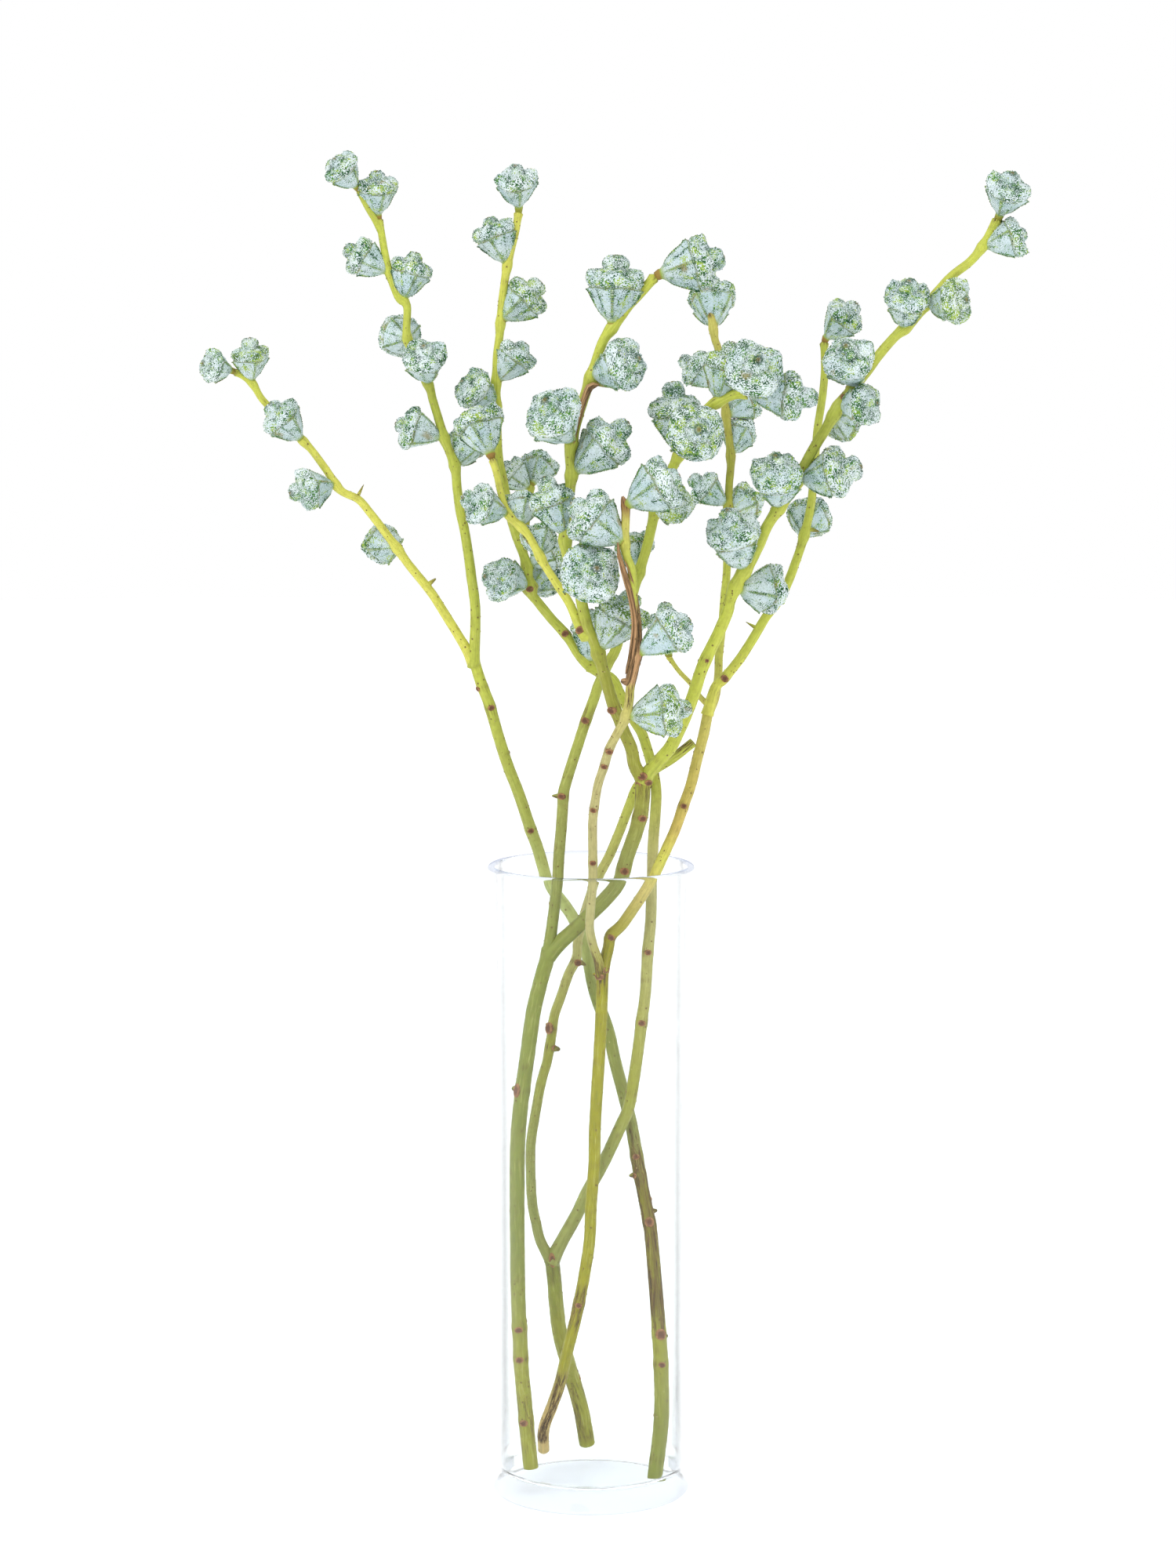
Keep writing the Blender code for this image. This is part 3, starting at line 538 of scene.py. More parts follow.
WOODY_STRIPS = (
    Limb("spray_5_strip", 2.8, 1.8, route=pairs(
        764, 491, 757, 491, 751, 494, 746, 506, 741, 520, 737, 535, 734, 551, 731, 569
    ), behind=pairs(490, -44, 569, -46)),
    Limb("spray_5_strip_edge", 1.7, 1.0, route=pairs(
        761, 493, 755, 495, 750, 503, 746, 514, 742, 528, 738, 544
    ), behind=pairs(493, -43, 544, -45)),
    Limb("c_left_strip", 3.0, 1.8, route=pairs(
        800, 874, 803, 858, 807, 840, 810, 820, 811, 802, 810, 785, 807, 765, 802, 745, 796, 727,
        790, 708, 788, 692
    ), behind=pairs(874, -64, 820, -67, 692, -67)),
    Limb("c_left_strip_edge", 1.7, 1.0, route=pairs(
        804, 868, 808, 850, 812, 832, 815, 812, 816, 794, 814, 774, 810, 752, 804, 733, 797, 715
    ), behind=pairs(868, -63, 820, -66, 715, -67)),
    Limb("c_left_strip_inner", 1.5, 0.9, route=pairs(
        798, 860, 802, 842, 805, 822, 807, 802, 806, 784, 803, 765, 798, 746, 793, 728, 787, 706
    ), behind=pairs(860, -65, 822, -68, 706, -68)),
)

SCARS = (
    *scars_on("a_trunk", (662, 1693, 3.0), (663, 1733, 3.0), (668, 1812, 3.2),
              (659, 1392, 3.0, 2.1)),
    *scars_on("b_left", (699, 1315, 3.4, 1.6), (708, 1343, 2.6), (738, 1235, 3.2)),
    *scars_on("b_trunk", (704, 1606, 2.4, 3.0)),
    *scars_on("d_trunk", (842, 1702, 3.6, 1.4), (829, 1560, 3.4, 1.3), (843, 1742, 2.6),
              (812, 1480, 2.6), (808, 1502, 2.6), (677, 1060, 2.4), (627, 902, 2.6),
              (607, 878, 2.4)),
    *scars_on("c_trunk", (764, 1248, 3.4), (773, 1236, 3.2), (738, 1664, 2.6)),
    *scars_on("c_right", (780, 1198, 2.8)),
    *scars_on("a_right", (797, 1108, 3.4), (820, 1043, 3.2), (819, 987, 3.6)),
    *scars_on("spray_6", (829, 995, 3.0)),
    *scars_on("spray_5", (812, 1000, 3.0)),
    *scars_on("a_left", (746, 920, 3.0), (716, 1016, 3.0)),
    *scars_on("c_left", (778, 954, 2.8), (771, 977, 2.4), (757, 1030, 2.4), (756, 1100, 2.4)),
    *scars_on("spray_8", (924, 866, 3.0)),
    *scars_on("spray_3a", (721, 805, 2.8), (676, 752, 2.8)),
    *scars_on("spray_3b", (740, 806, 3.4)),
    *scars_on("spray_5", (779, 905, 3.6)),
    *scars_on("spray_6", (902, 840, 1.6)),
    *scars_on("c_right", (871, 1030, 2.4)),
    *scars_on("b_right", (832, 984, 3.2), (827, 1219, 2.6), (819, 1308, 2.8)),
    *scars_on("spray_6", (1076, 509, 3.0)),
)


class Wiring:
    """A node tree under construction, with short ways to add and join nodes."""

    def __init__(self, tree: bpy.types.NodeTree) -> None:
        """Keeps the tree."""
        self.tree = tree

    def node(self, kind: str, inputs: dict | None = None, **settings: object) -> bpy.types.Node:
        """Adds a node.

        Args:
            kind: The node's type name.
            inputs: Values or output sockets by input name or index.
            **settings: The node's own properties.

        Returns:
            The new node.
        """
        item = self.tree.nodes.new(kind)
        for name, value in settings.items():
            setattr(item, name, value)
        for name, value in (inputs or {}).items():
            self.feed(item.inputs[name], value)
        return item

    def feed(self, socket: bpy.types.NodeSocket, value: object) -> None:
        """Sets an input to a value, or joins an output to it."""
        if isinstance(value, bpy.types.NodeSocket):
            self.tree.links.new(value, socket)
        elif isinstance(value, tuple) and len(value) == 3 and socket.type == "RGBA":
            socket.default_value = (*value, 1.0)
        else:
            socket.default_value = value

    def sum(self, operation: str, first: object, second: object = 0.0) -> Socket:
        """The result of a Math node on two values or sockets."""
        return self.node("ShaderNodeMath", {0: first, 1: second}, operation=operation).outputs[0]

    def plus(self, total: object, *others: object) -> Socket:
        """The sum of values or sockets."""
        for other in others:
            total = self.sum("ADD", total, other)
        return total

    def times(self, first: object, second: object) -> Socket:
        """The product of two values or sockets."""
        return self.sum("MULTIPLY", first, second)

    def vector(self, operation: str, inputs: dict) -> Socket:
        """The result of a Vector Math node."""
        return self.node("ShaderNodeVectorMath", inputs, operation=operation).outputs[0]

    def blend(self, colour: object, *coats: tuple) -> Socket:
        """A colour under coats, each given as its share and its colour."""
        for share, coat in coats:
            item = self.node("ShaderNodeMix", {0: share, 6: colour, 7: coat}, data_type="RGBA")
            colour = item.outputs[2]
        return colour

    def ramp(self, value: object, low: float, high: float,
             from_value: float = 0.0, to_value: float = 1.0) -> Socket:
        """A value stretched from one range to another and held inside it."""
        return self.node("ShaderNodeMapRange", {
            "Value": value, "From Min": low, "From Max": high, "To Min": from_value,
            "To Max": to_value}).outputs["Result"]

    def noise(self, place: object, scale: object, detail: float = 2.0,
              roughness: float = 0.5) -> Socket:
        """The value of a noise pattern at a place."""
        return self.node("ShaderNodeTexNoise", {
            "Vector": place, "Scale": scale, "Detail": detail,
            "Roughness": roughness}).outputs["Fac"]

    def cells(self, place: object, scale: float) -> tuple:
        """A cell pattern: the distance to a cell's middle, and three chances for each cell."""
        item = self.node("ShaderNodeTexVoronoi", {"Vector": place, "Scale": scale}, feature="F1")
        chances = self.node("ShaderNodeSeparateColor", {"Color": item.outputs["Color"]})
        return item.outputs["Distance"], *chances.outputs

    def place(self) -> Socket:
        """The place on the object, in a shader."""
        return self.node("ShaderNodeTexCoord").outputs["Object"]

    def attribute(self, name: str, output: str = "Fac") -> Socket:
        """What a mesh attribute holds, in a shader."""
        return self.node("ShaderNodeAttribute", attribute_name=name).outputs[output]

    def field(self, name: str, kind: str = "FLOAT") -> Socket:
        """What a mesh attribute holds, in a geometry tree."""
        return self.node("GeometryNodeInputNamedAttribute", {"Name": name},
                         data_type=kind).outputs["Attribute"]


def new_group(name: str, kind: str, inputs: tuple, outputs: tuple) -> bpy.types.NodeTree:
    """Makes a node group with named sockets.

    Args:
        name: The group's name.
        kind: Its tree type.
        inputs: Name, kind and default of each input.
        outputs: Name and kind of each output.

    Returns:
        The group.
    """
    tree = bpy.data.node_groups.new(name, kind)
    for label, what, value in inputs:
        socket = tree.interface.new_socket(name=label, in_out="INPUT",
                                           socket_type=f"NodeSocket{what}")
        if value is not None:
            socket.default_value = value
    for label, what in outputs:
        tree.interface.new_socket(name=label, in_out="OUTPUT", socket_type=f"NodeSocket{what}")
    return tree


class ShaderGroup:
    """A shader node group, built once and placed in each material that uses it."""

    name: str
    inputs: tuple
    outputs: tuple

    @staticmethod
    def wire(wiring: Wiring, source: bpy.types.NodeOutputs) -> tuple:
        """Wires the group and returns what each output puts out."""
        raise NotImplementedError

    @classmethod
    def place_in(cls, wiring: Wiring, *values: object) -> bpy.types.NodeOutputs:
        """Places the group in a material.

        Args:
            wiring: The material's wiring.
            *values: A value or socket for each input, in order.

        Returns:
            The group's outputs.
        """
        if cls.name not in bpy.data.node_groups:
            tree = new_group(cls.name, "ShaderNodeTree", cls.inputs, cls.outputs)
            inside = Wiring(tree)
            results = cls.wire(inside, inside.node("NodeGroupInput").outputs)
            inside.node("NodeGroupOutput", dict(enumerate(results)))
        item = wiring.node("ShaderNodeGroup", node_tree=bpy.data.node_groups[cls.name])
        for socket, value in zip(item.inputs, values):
            wiring.feed(socket, value)
        return item.outputs


class MottleGroup(ShaderGroup):
    """Mottles a colour with stains and gives a fine height."""

    name = "mottle"
    inputs = (("Colour", "Color", None), ("Stain", "Color", None), ("Grain", "Float", 800.0),
              ("Amount", "Float", 0.4))
    outputs = (("Colour", "Color"), ("Height", "Float"))

    @staticmethod
    def wire(wiring: Wiring, source: bpy.types.NodeOutputs) -> tuple:
        """Wires the group."""
        place = wiring.place()
        broad = wiring.noise(place, source["Grain"], 4.0, 0.6)
        fine = wiring.noise(place, wiring.times(source["Grain"], 3.1))
        share = wiring.times(wiring.ramp(broad, 0.42, 0.62), source["Amount"])
        colour = wiring.blend(source["Colour"], (share, source["Stain"]))
        return colour, wiring.times(wiring.plus(broad, fine), 0.5)


class DashGroup(ShaderGroup):
    """Short dashes that run round a nut, clustered in patches."""

    name = "dashes"
    inputs = (("Whorl", "Vector", None), ("Shift", "Float", 0.0), ("Crowding", "Float", 0.0),
              ("Patch Size", "Float", 205.0))
    outputs = (("Mark", "Float"), ("Height", "Float"))
    fineness = (13.0, 13.0, 2200.0)

    @staticmethod
    def wire(wiring: Wiring, source: bpy.types.NodeOutputs) -> tuple:
        """Wires the group."""
        wound = wiring.vector("MULTIPLY", {0: source["Whorl"], 1: DashGroup.fineness})
        shift = wiring.node("ShaderNodeCombineXYZ", {"Z": source["Shift"]}).outputs[0]
        dashes = wiring.noise(wiring.vector("ADD", {0: wound, 1: shift}), 1.0, 1.0)
        patches = wiring.noise(wiring.place(), source["Patch Size"])
        level = wiring.ramp(patches, 0.38, 0.62, 0.605, 0.440)
        over = wiring.sum("SUBTRACT", dashes, wiring.sum("SUBTRACT", level, source["Crowding"]))
        return wiring.ramp(over, -0.01, 0.04), dashes


class Paint(Wiring):
    """A material under construction, round its Principled shader."""

    def __init__(self, name: str, roughness: float, specular: float = 0.5) -> None:
        """Makes the material.

        Args:
            name: Its name.
            roughness: The shader's roughness.
            specular: The shader's specular level.
        """
        self.material = bpy.data.materials.new(name)
        self.material.use_nodes = True
        super().__init__(self.material.node_tree)
        self.shader = self.tree.nodes["Principled BSDF"]
        self.shader.inputs["Roughness"].default_value = roughness
        self.shader.inputs["Specular IOR Level"].default_value = specular

    def mottle(self, colour: object, stain: object, grain: float, amount: float) -> tuple:
        """A mottled colour and its fine height."""
        return tuple(MottleGroup.place_in(self, colour, stain, grain, amount))

    def done(self, colour: object, height: object, strength: float,
             depth: float) -> bpy.types.Material:
        """Joins the colour and the relief to the shader.

        Args:
            colour: The surface's colour.
            height: The relief.
            strength: How strongly the relief shows.
            depth: How deep it is, in metres.

        Returns:
            The material.
        """
        self.feed(self.shader.inputs["Base Color"], colour)
        relief = self.node("ShaderNodeBump", {"Height": height, "Strength": strength,
                                              "Distance": depth})
        self.feed(self.shader.inputs["Normal"], relief.outputs["Normal"])
        return self.material


@dataclass(frozen=True)
class BloomFinish:
    """Nut skin: pale wax with green ribs, broken by dark dashes of green skin and painted shade."""

    wax: Colour = screen_colour(230, 240, 243)
    blue_wax: Colour = screen_colour(192, 212, 220)
    dark: Colour = screen_colour(30, 80, 44)
    leaf: Colour = screen_colour(76, 132, 50)
    lime: Colour = screen_colour(158, 184, 62)
    rib: Colour = screen_colour(122, 158, 88)
    stalk: Colour = screen_colour(156, 176, 62)
    rust: Colour = screen_colour(146, 134, 76)
    joint: Colour = screen_colour(158, 100, 62)

    def material(self) -> bpy.types.Material:
        """Builds the material."""
        paint = Paint("nut_bloom", 0.66, 0.3)
        place = paint.place()
        tone, cap, rib = (paint.attribute(name) for name in ("tone", "cap", "rib"))
        crowding = paint.plus(
            paint.ramp(cap, 0.0, 1.0, -0.075, 0.016), paint.times(rib, 0.10),
            paint.ramp(tone, 0.0, 1.0, -0.02, 0.03), paint.times(paint.attribute("fold"), 0.12))
        # The dashes are partly green skin showing through the wax and partly painted shade between
        # the warts.
        mark, mark_height = DashGroup.place_in(paint, paint.attribute("whorl", "Vector"),
                                               paint.times(tone, 60.0), crowding)
        bluish = paint.plus(paint.ramp(paint.noise(place, 75.0), 0.4, 0.62, 0.0, 0.6),
                            paint.ramp(cap, 0.0, 1.0, 0.45, 0.0))
        dusted, dust = paint.mottle(paint.blend(self.wax, (bluish, self.blue_wax)), self.leaf,
                                    900.0, 0.22)
        hue = paint.noise(place, 240.0)
        limy = paint.plus(paint.ramp(hue, 0.5, 0.68), paint.ramp(tone, 0.5, 1.0, -0.15, 0.35))
        green = paint.blend(self.dark, (paint.ramp(hue, 0.40, 0.55), self.leaf),
                            (paint.ramp(limy, 0.2, 0.8), self.lime))
        stained = paint.ramp(paint.noise(place, 85.0, 3.0), 0.67, 0.74, 0.0, 0.7)
        rim = paint.times(paint.attribute("rim"), paint.ramp(hue, 0.46, 0.60, 0.0, 0.7))
        joint = paint.times(paint.attribute("joint"), paint.ramp(tone, 0.0, 1.0, 0.25, 0.85))
        # The groove mask paints shade: a dark line in the groove under the cap's rim.
        # The knob mask paints shade: a dark ring in the groove round the central knob.
        colour = paint.blend(
            dusted, (paint.ramp(rib, 0.45, 0.95, 0.0, 0.75), self.rib), (mark, green),
            (rim, self.rust), (paint.times(paint.attribute("groove"), 0.4), self.dark),
            (stained, self.rust), (paint.times(paint.attribute("knob"), 0.85), self.dark),
            (paint.times(paint.attribute("pit"), 0.9), self.rust),
            (paint.attribute("stalk"), self.stalk), (joint, self.joint))
        height = paint.plus(paint.times(mark_height, -1.0), paint.times(dust, 0.6))
        return paint.done(colour, height, 0.6, 0.5 * MM)


@dataclass(frozen=True)
class WartFinish:
    """The raised warts: rubbed green, yellow-green in places, many still under wax."""

    green: Colour = screen_colour(84, 132, 70)
    dark: Colour = screen_colour(42, 86, 56)
    lime: Colour = screen_colour(166, 186, 68)
    wax: Colour = screen_colour(232, 240, 243)

    def material(self) -> bpy.types.Material:
        """Builds the material."""
        paint = Paint("nut_warts", 0.6, 0.3)
        place = paint.place()
        _, first, second, third = paint.cells(place, 560.0)
        limy = paint.plus(second, paint.ramp(paint.noise(place, 95.0), 0.35, 0.7, -0.4, 0.4))
        frost = paint.noise(place, 1300.0)
        bare = paint.ramp(paint.noise(place, 150.0), 0.36, 0.64, 0.12, 0.78)
        coated = paint.ramp(paint.sum("SUBTRACT", third, bare), 0.0, 0.06, 0.0, 0.9)
        dusting = paint.plus(paint.ramp(frost, 0.5, 0.64, 0.0, 0.4), coated)
        colour = paint.blend(self.dark, (paint.ramp(first, 0.3, 0.8), self.green),
                             (paint.ramp(limy, 0.74, 0.84), self.lime),
                             (paint.ramp(dusting, 0.0, 1.0), self.wax))
        return paint.done(colour, frost, 0.3, 0.2 * MM)


@dataclass(frozen=True)
class RimFinish:
    """The teeth on rim and ribs: dusty green, ochre and brown in places."""

    bead: Colour = screen_colour(144, 172, 92)
    wax: Colour = screen_colour(214, 226, 224)
    brown: Colour = screen_colour(150, 122, 72)
    dark: Colour = screen_colour(52, 88, 58)

    def material(self) -> bpy.types.Material:
        """Builds the material."""
        paint = Paint("rim_teeth", 0.58)
        mottled, height = paint.mottle(self.bead, self.wax, 620.0, 0.6)
        browned = paint.noise(paint.place(), 110.0)
        colour = paint.blend(mottled, (paint.ramp(browned, 0.58, 0.66, 0.0, 0.6), self.brown),
                             (paint.ramp(browned, 0.46, 0.38, 0.0, 0.5), self.dark))
        return paint.done(colour, height, 0.3, 0.3 * MM)


@dataclass(frozen=True)
class BarkFinish:
    """Smooth young bark: tones along the stem, lengthwise streaks, specks and brown wear."""

    shade: Colour = screen_colour(96, 112, 46)
    pale: Colour = screen_colour(216, 214, 140)
    brown: Colour = screen_colour(104, 78, 42)
    streak: Colour = screen_colour(66, 50, 28)

    def material(self) -> bpy.types.Material:
        """Builds the material."""
        paint = Paint("gum_bark", 0.5, 0.4)
        turn = paint.times(paint.attribute("around"), math.tau)
        wrapped = paint.node("ShaderNodeCombineXYZ", {
            "X": paint.times(paint.sum("COSINE", turn), 1.6),
            "Y": paint.times(paint.sum("SINE", turn), 1.6),
            "Z": paint.times(paint.attribute("along"), 45.0)}).outputs[0]
        streaks = paint.noise(wrapped, 2.2, 6.0, 0.66)
        streaked = paint.blend(paint.attribute("bark", "Color"),
                               (paint.ramp(streaks, 0.5, 0.72, 0.0, 0.5), self.shade),
                               (paint.ramp(streaks, 0.46, 0.32, 0.0, 0.3), self.pale))
        specked, specks = paint.mottle(streaked, self.brown, 420.0, 0.15)
        distance, chance, _, _ = paint.cells(paint.place(), 330.0)
        dot = paint.times(paint.ramp(distance, 0.20, 0.12),
                          paint.ramp(chance, 0.62, 0.70, 0.0, 0.85))
        wear = paint.attribute("wear")
        blotch = paint.ramp(paint.noise(wrapped, 0.8, 3.0, 0.6), 0.44, 0.56, 0.15, 1.35)
        fibre = paint.ramp(paint.noise(wrapped, 5.0, 4.0, 0.7), 0.40, 0.56, 0.25, 1.35)
        worn = paint.times(paint.times(wear, blotch), fibre)
        deep = paint.times(worn, paint.ramp(streaks, 0.46, 0.56))
        colour = paint.blend(specked, (dot, self.brown), (paint.ramp(worn, 0.1, 0.9), self.brown),
                             (paint.ramp(deep, 0.2, 0.8, 0.0, 0.9), self.streak))
        paint.feed(paint.shader.inputs["Roughness"], paint.ramp(wear, 0.0, 1.0, 0.46, 0.75))
        return paint.done(colour, paint.plus(streaks, paint.times(specks, 0.5)), 0.32, 0.4 * MM)


@dataclass(frozen=True)
class ScarFinish:
    """Leaf scars: a rusty lip round a dark sunk middle."""

    lip: Colour = screen_colour(168, 124, 80)
    core: Colour = screen_colour(104, 68, 46)

    def material(self) -> bpy.types.Material:
        """Builds the material."""
        paint = Paint("leaf_scars", 0.72)
        middle = paint.ramp(paint.attribute("core"), 0.15, 0.6)
        mottled, height = paint.mottle(paint.blend(self.lip, (middle, self.core)), self.core,
                                       760.0, 0.85)
        return paint.done(mottled, height, 0.6, 0.5 * MM)


@dataclass(frozen=True)
class PoreFinish:
    """Lenticels: small corky pores, most of them brown, some pale."""

    brown: Colour = screen_colour(116, 82, 50)
    pale: Colour = screen_colour(190, 180, 112)

    def material(self) -> bpy.types.Material:
        """Builds the material."""
        paint = Paint("lenticels", 0.7)
        _, chance, _, _ = paint.cells(paint.place(), 260.0)
        colour = paint.blend(self.brown, (paint.ramp(chance, 0.55, 0.65), self.pale))
        mottled, height = paint.mottle(colour, self.brown, 900.0, 0.5)
        return paint.done(mottled, height, 0.4, 0.3 * MM)


@dataclass(frozen=True)
class GlassFinish:
    """Clear glass whose edges stay pale against a white ground, with soft clear shadows."""

    tint: Colour = (0.965, 0.985, 0.985)
    shadow_tint: Colour = (0.95, 0.965, 0.965)
    edge_tint: Colour = (0.985, 0.99, 0.995)
    # The lip bands paint grey shade on the lip and the foot's edge, where the thick glass looks
    # grey.
    painted_lip_shade: Colour = (0.74, 0.77, 0.84)
    rim_depth: float = 1.8 * MM
    foot_depth: float = 1.6 * MM
    height: float = 310 * MM
    edge_starts: float = 0.50
    edge_full: float = 0.64
    edge_clearness: float = 0.92

    def material(self) -> bpy.types.Material:
        """Builds the material."""
        paint = Paint("vase_glass", 0.0, 0.2)
        shader = paint.shader
        level = paint.node("ShaderNodeSeparateXYZ", {"Vector": paint.place()}).outputs["Z"]
        # lip: painted grey shade in bands at the rim's lip and at the foot's edge.
        lip = paint.sum("MAXIMUM", paint.ramp(level, self.height - self.rim_depth,
                                              self.height - self.rim_depth * 0.7),
                        paint.ramp(level, self.foot_depth, self.foot_depth * 0.6, 0.0, 0.6))
        paint.feed(shader.inputs["Base Color"], paint.blend(self.tint, (lip, self.painted_lip_shade)))
        shader.inputs["IOR"].default_value = 1.25
        shader.inputs["Transmission Weight"].default_value = 1.0
        edge = paint.node("ShaderNodeBsdfTransparent",
                          {"Color": paint.blend(self.edge_tint, (lip, self.painted_lip_shade))})
        facing = paint.node("ShaderNodeLayerWeight", {"Blend": 0.5}).outputs["Facing"]
        share = paint.ramp(facing, self.edge_starts, self.edge_full, 0.0, self.edge_clearness)
        body = paint.node("ShaderNodeMixShader", {0: share, 1: shader.outputs[0],
                                                  2: edge.outputs[0]})
        through = paint.node("ShaderNodeBsdfTransparent", {"Color": self.shadow_tint})
        shadow = paint.node("ShaderNodeLightPath").outputs["Is Shadow Ray"]
        mix = paint.node("ShaderNodeMixShader", {0: shadow, 1: body.outputs[0],
                                                 2: through.outputs[0]})
        paint.feed(paint.tree.nodes["Material Output"].inputs["Surface"], mix.outputs[0])
        return paint.material


@dataclass(frozen=True)
class FloorFinish:
    """A matte white studio floor."""

    colour: Colour = (0.82, 0.82, 0.82)
    mirrored: Colour = (0.7, 0.7, 0.7)
    glow: float = 0.36
    mirrored_glow: float = 0.30

    def material(self) -> bpy.types.Material:
        """Builds the material."""
        paint = Paint("white_floor", 0.9, 0.1)
        path = paint.node("ShaderNodeLightPath").outputs
        mirror = paint.sum("SUBTRACT", path["Is Glossy Ray"], path["Is Transmission Ray"])
        plain = paint.blend(self.colour, (mirror, self.mirrored))
        paint.feed(paint.shader.inputs["Base Color"], paint.mottle(plain, plain, 40.0, 0.1)[0])
        paint.shader.inputs["Emission Color"].default_value = (1.0, 1.0, 1.0, 1.0)
        paint.feed(paint.shader.inputs["Emission Strength"],
                   paint.ramp(mirror, 0.0, 1.0, self.glow, self.mirrored_glow))
        return paint.material


class Grower:
    """A geometry node tree, built once, that grows a plain mesh on a host mesh."""

    name: str
    inputs: tuple

    @staticmethod
    def wire(wiring: Wiring, source: bpy.types.NodeOutputs) -> Socket:
        """Wires the tree and returns the geometry that it makes."""
        raise NotImplementedError

    @classmethod
    def tree(cls) -> bpy.types.NodeTree:
        """Returns the tree, which ends in Realize Instances and Set Material."""
        if cls.name not in bpy.data.node_groups:
            tree = new_group(cls.name, "GeometryNodeTree",
                             (("Geometry", "Geometry", None), *cls.inputs,
                              ("Material", "Material", None)), (("Geometry", "Geometry"),))
            wiring = Wiring(tree)
            source = wiring.node("NodeGroupInput").outputs
            result = cls.wire(wiring, source)
            for kind in ("GeometryNodeRealizeInstances", "GeometryNodeSetShadeSmooth",
                         "GeometryNodeSetMaterial"):
                last = wiring.node(kind, {"Geometry": result})
                result = last.outputs[0]
            wiring.feed(last.inputs["Material"], source["Material"])
            wiring.node("NodeGroupOutput", {0: result})
        return bpy.data.node_groups[cls.name]

    @classmethod
    def grow(cls, name: str, host: bpy.types.Mesh, values: dict) -> bpy.types.Object:
        """Grows a piece on a host mesh.

        Args:
            name: The piece's name.
            host: The mesh that the tree reads.
            values: The tree's inputs by socket name.

        Returns:
            An object with the resulting plain mesh.
        """
        holder = put_in_scene(f"{name}_host", host)
        modifier = holder.modifiers.new("grow", "NODES")
        modifier.node_group = cls.tree()
        for item in modifier.node_group.interface.items_tree:
            if item.in_out == "INPUT" and item.name in values:
                modifier[item.identifier] = values[item.name]
        bpy.context.view_layer.update()
        evaluated = holder.evaluated_get(bpy.context.evaluated_depsgraph_get())
        mesh = bpy.data.meshes.new_from_object(evaluated)
        mesh.name = name
        bpy.data.objects.remove(holder, do_unlink=True)
        return put_in_scene(name, mesh)


class TubeSweep(Grower):
    """Sweeps bark round centre lines, with its fluting and small unevenness."""

    name = "tube_sweep"
    grain = 260.0
    flutes = 4
    twist = 30.0
    inputs = (("Sides", "Int", 14), ("Unevenness", "Float", 0.05), ("Fluting", "Float", 0.03))

    @staticmethod
    def wire(wiring: Wiring, source: bpy.types.NodeOutputs) -> Socket:
        """Wires the tree."""
        line = wiring.node("GeometryNodeMeshToCurve", {"Mesh": source["Geometry"]}).outputs[0]
        section = wiring.node("GeometryNodeCurvePrimitiveCircle", {
            "Resolution": source["Sides"], "Radius": 1.0}).outputs["Curve"]
        marked = [wiring.node("GeometryNodeStoreNamedAttribute", {
            "Geometry": curve, "Name": label,
            "Value": wiring.node("GeometryNodeSplineParameter").outputs[measure]},
            data_type="FLOAT", domain="POINT").outputs[0]
            for curve, label, measure in ((line, "along", "Length"), (section, "around", "Factor"))]
        thickness = wiring.field("thickness")
        swept = wiring.node("GeometryNodeCurveToMesh", {
            "Curve": marked[0], "Profile Curve": marked[1], "Scale": thickness,
            "Fill Caps": True})
        place = wiring.node("GeometryNodeInputPosition").outputs[0]
        uneven = wiring.times(wiring.sum("SUBTRACT", wiring.noise(place, TubeSweep.grain), 0.5),
                              source["Unevenness"])
        phase = wiring.plus(wiring.times(wiring.field("around"), TubeSweep.flutes * math.tau),
                            wiring.times(wiring.field("along"), TubeSweep.twist))
        flute = wiring.times(wiring.sum("COSINE", phase), source["Fluting"])
        reach = wiring.times(wiring.plus(uneven, flute), thickness)
        normal = wiring.node("GeometryNodeInputNormal").outputs[0]
        shift = wiring.vector("SCALE", {0: normal, "Scale": reach})
        return wiring.node("GeometryNodeSetPosition", {"Geometry": swept.outputs[0],
                                                       "Offset": shift}).outputs[0]


class WartScatter(Grower):
    """Covers a surface with small oval domes, as thick as its warty attribute says."""

    name = "wart_scatter"
    inputs = (("Spacing", "Float", 0.0012), ("Smallest", "Vector", None),
              ("Largest", "Vector", None), ("Seed", "Int", 1), ("Shape", "Object", None))
    thickest = 950000.0
    most_turned = 0.9

    @staticmethod
    def wire(wiring: Wiring, source: bpy.types.NodeOutputs) -> Socket:
        """Wires the tree."""
        spots = wiring.node("GeometryNodeDistributePointsOnFaces", {
            "Mesh": source["Geometry"], "Distance Min": source["Spacing"],
            "Density Max": WartScatter.thickest, "Density Factor": wiring.field("warty"),
            "Seed": source["Seed"]}, distribute_method="POISSON")
        facing = wiring.node("FunctionNodeAxesToRotation", {
            "Primary Axis": spots.outputs["Normal"],
            "Secondary Axis": wiring.field("round_way", "FLOAT_VECTOR")},
            primary_axis="Z", secondary_axis="X")
        angle = wiring.node("FunctionNodeRandomValue", {2: -WartScatter.most_turned,
                                                        3: WartScatter.most_turned},
                            data_type="FLOAT")
        spin = wiring.node("FunctionNodeAxisAngleToRotation", {"Axis": (0.0, 0.0, 1.0),
                                                               "Angle": angle.outputs[1]})
        turned = wiring.node("FunctionNodeRotateRotation", {
            "Rotation": facing.outputs[0], "Rotate By": spin.outputs[0]},
            rotation_space="LOCAL")
        size = wiring.node("FunctionNodeRandomValue", {0: source["Smallest"],
                                                       1: source["Largest"]},
                           data_type="FLOAT_VECTOR")
        return set_shapes(wiring, source, spots.outputs["Points"], turned, size.outputs[0])


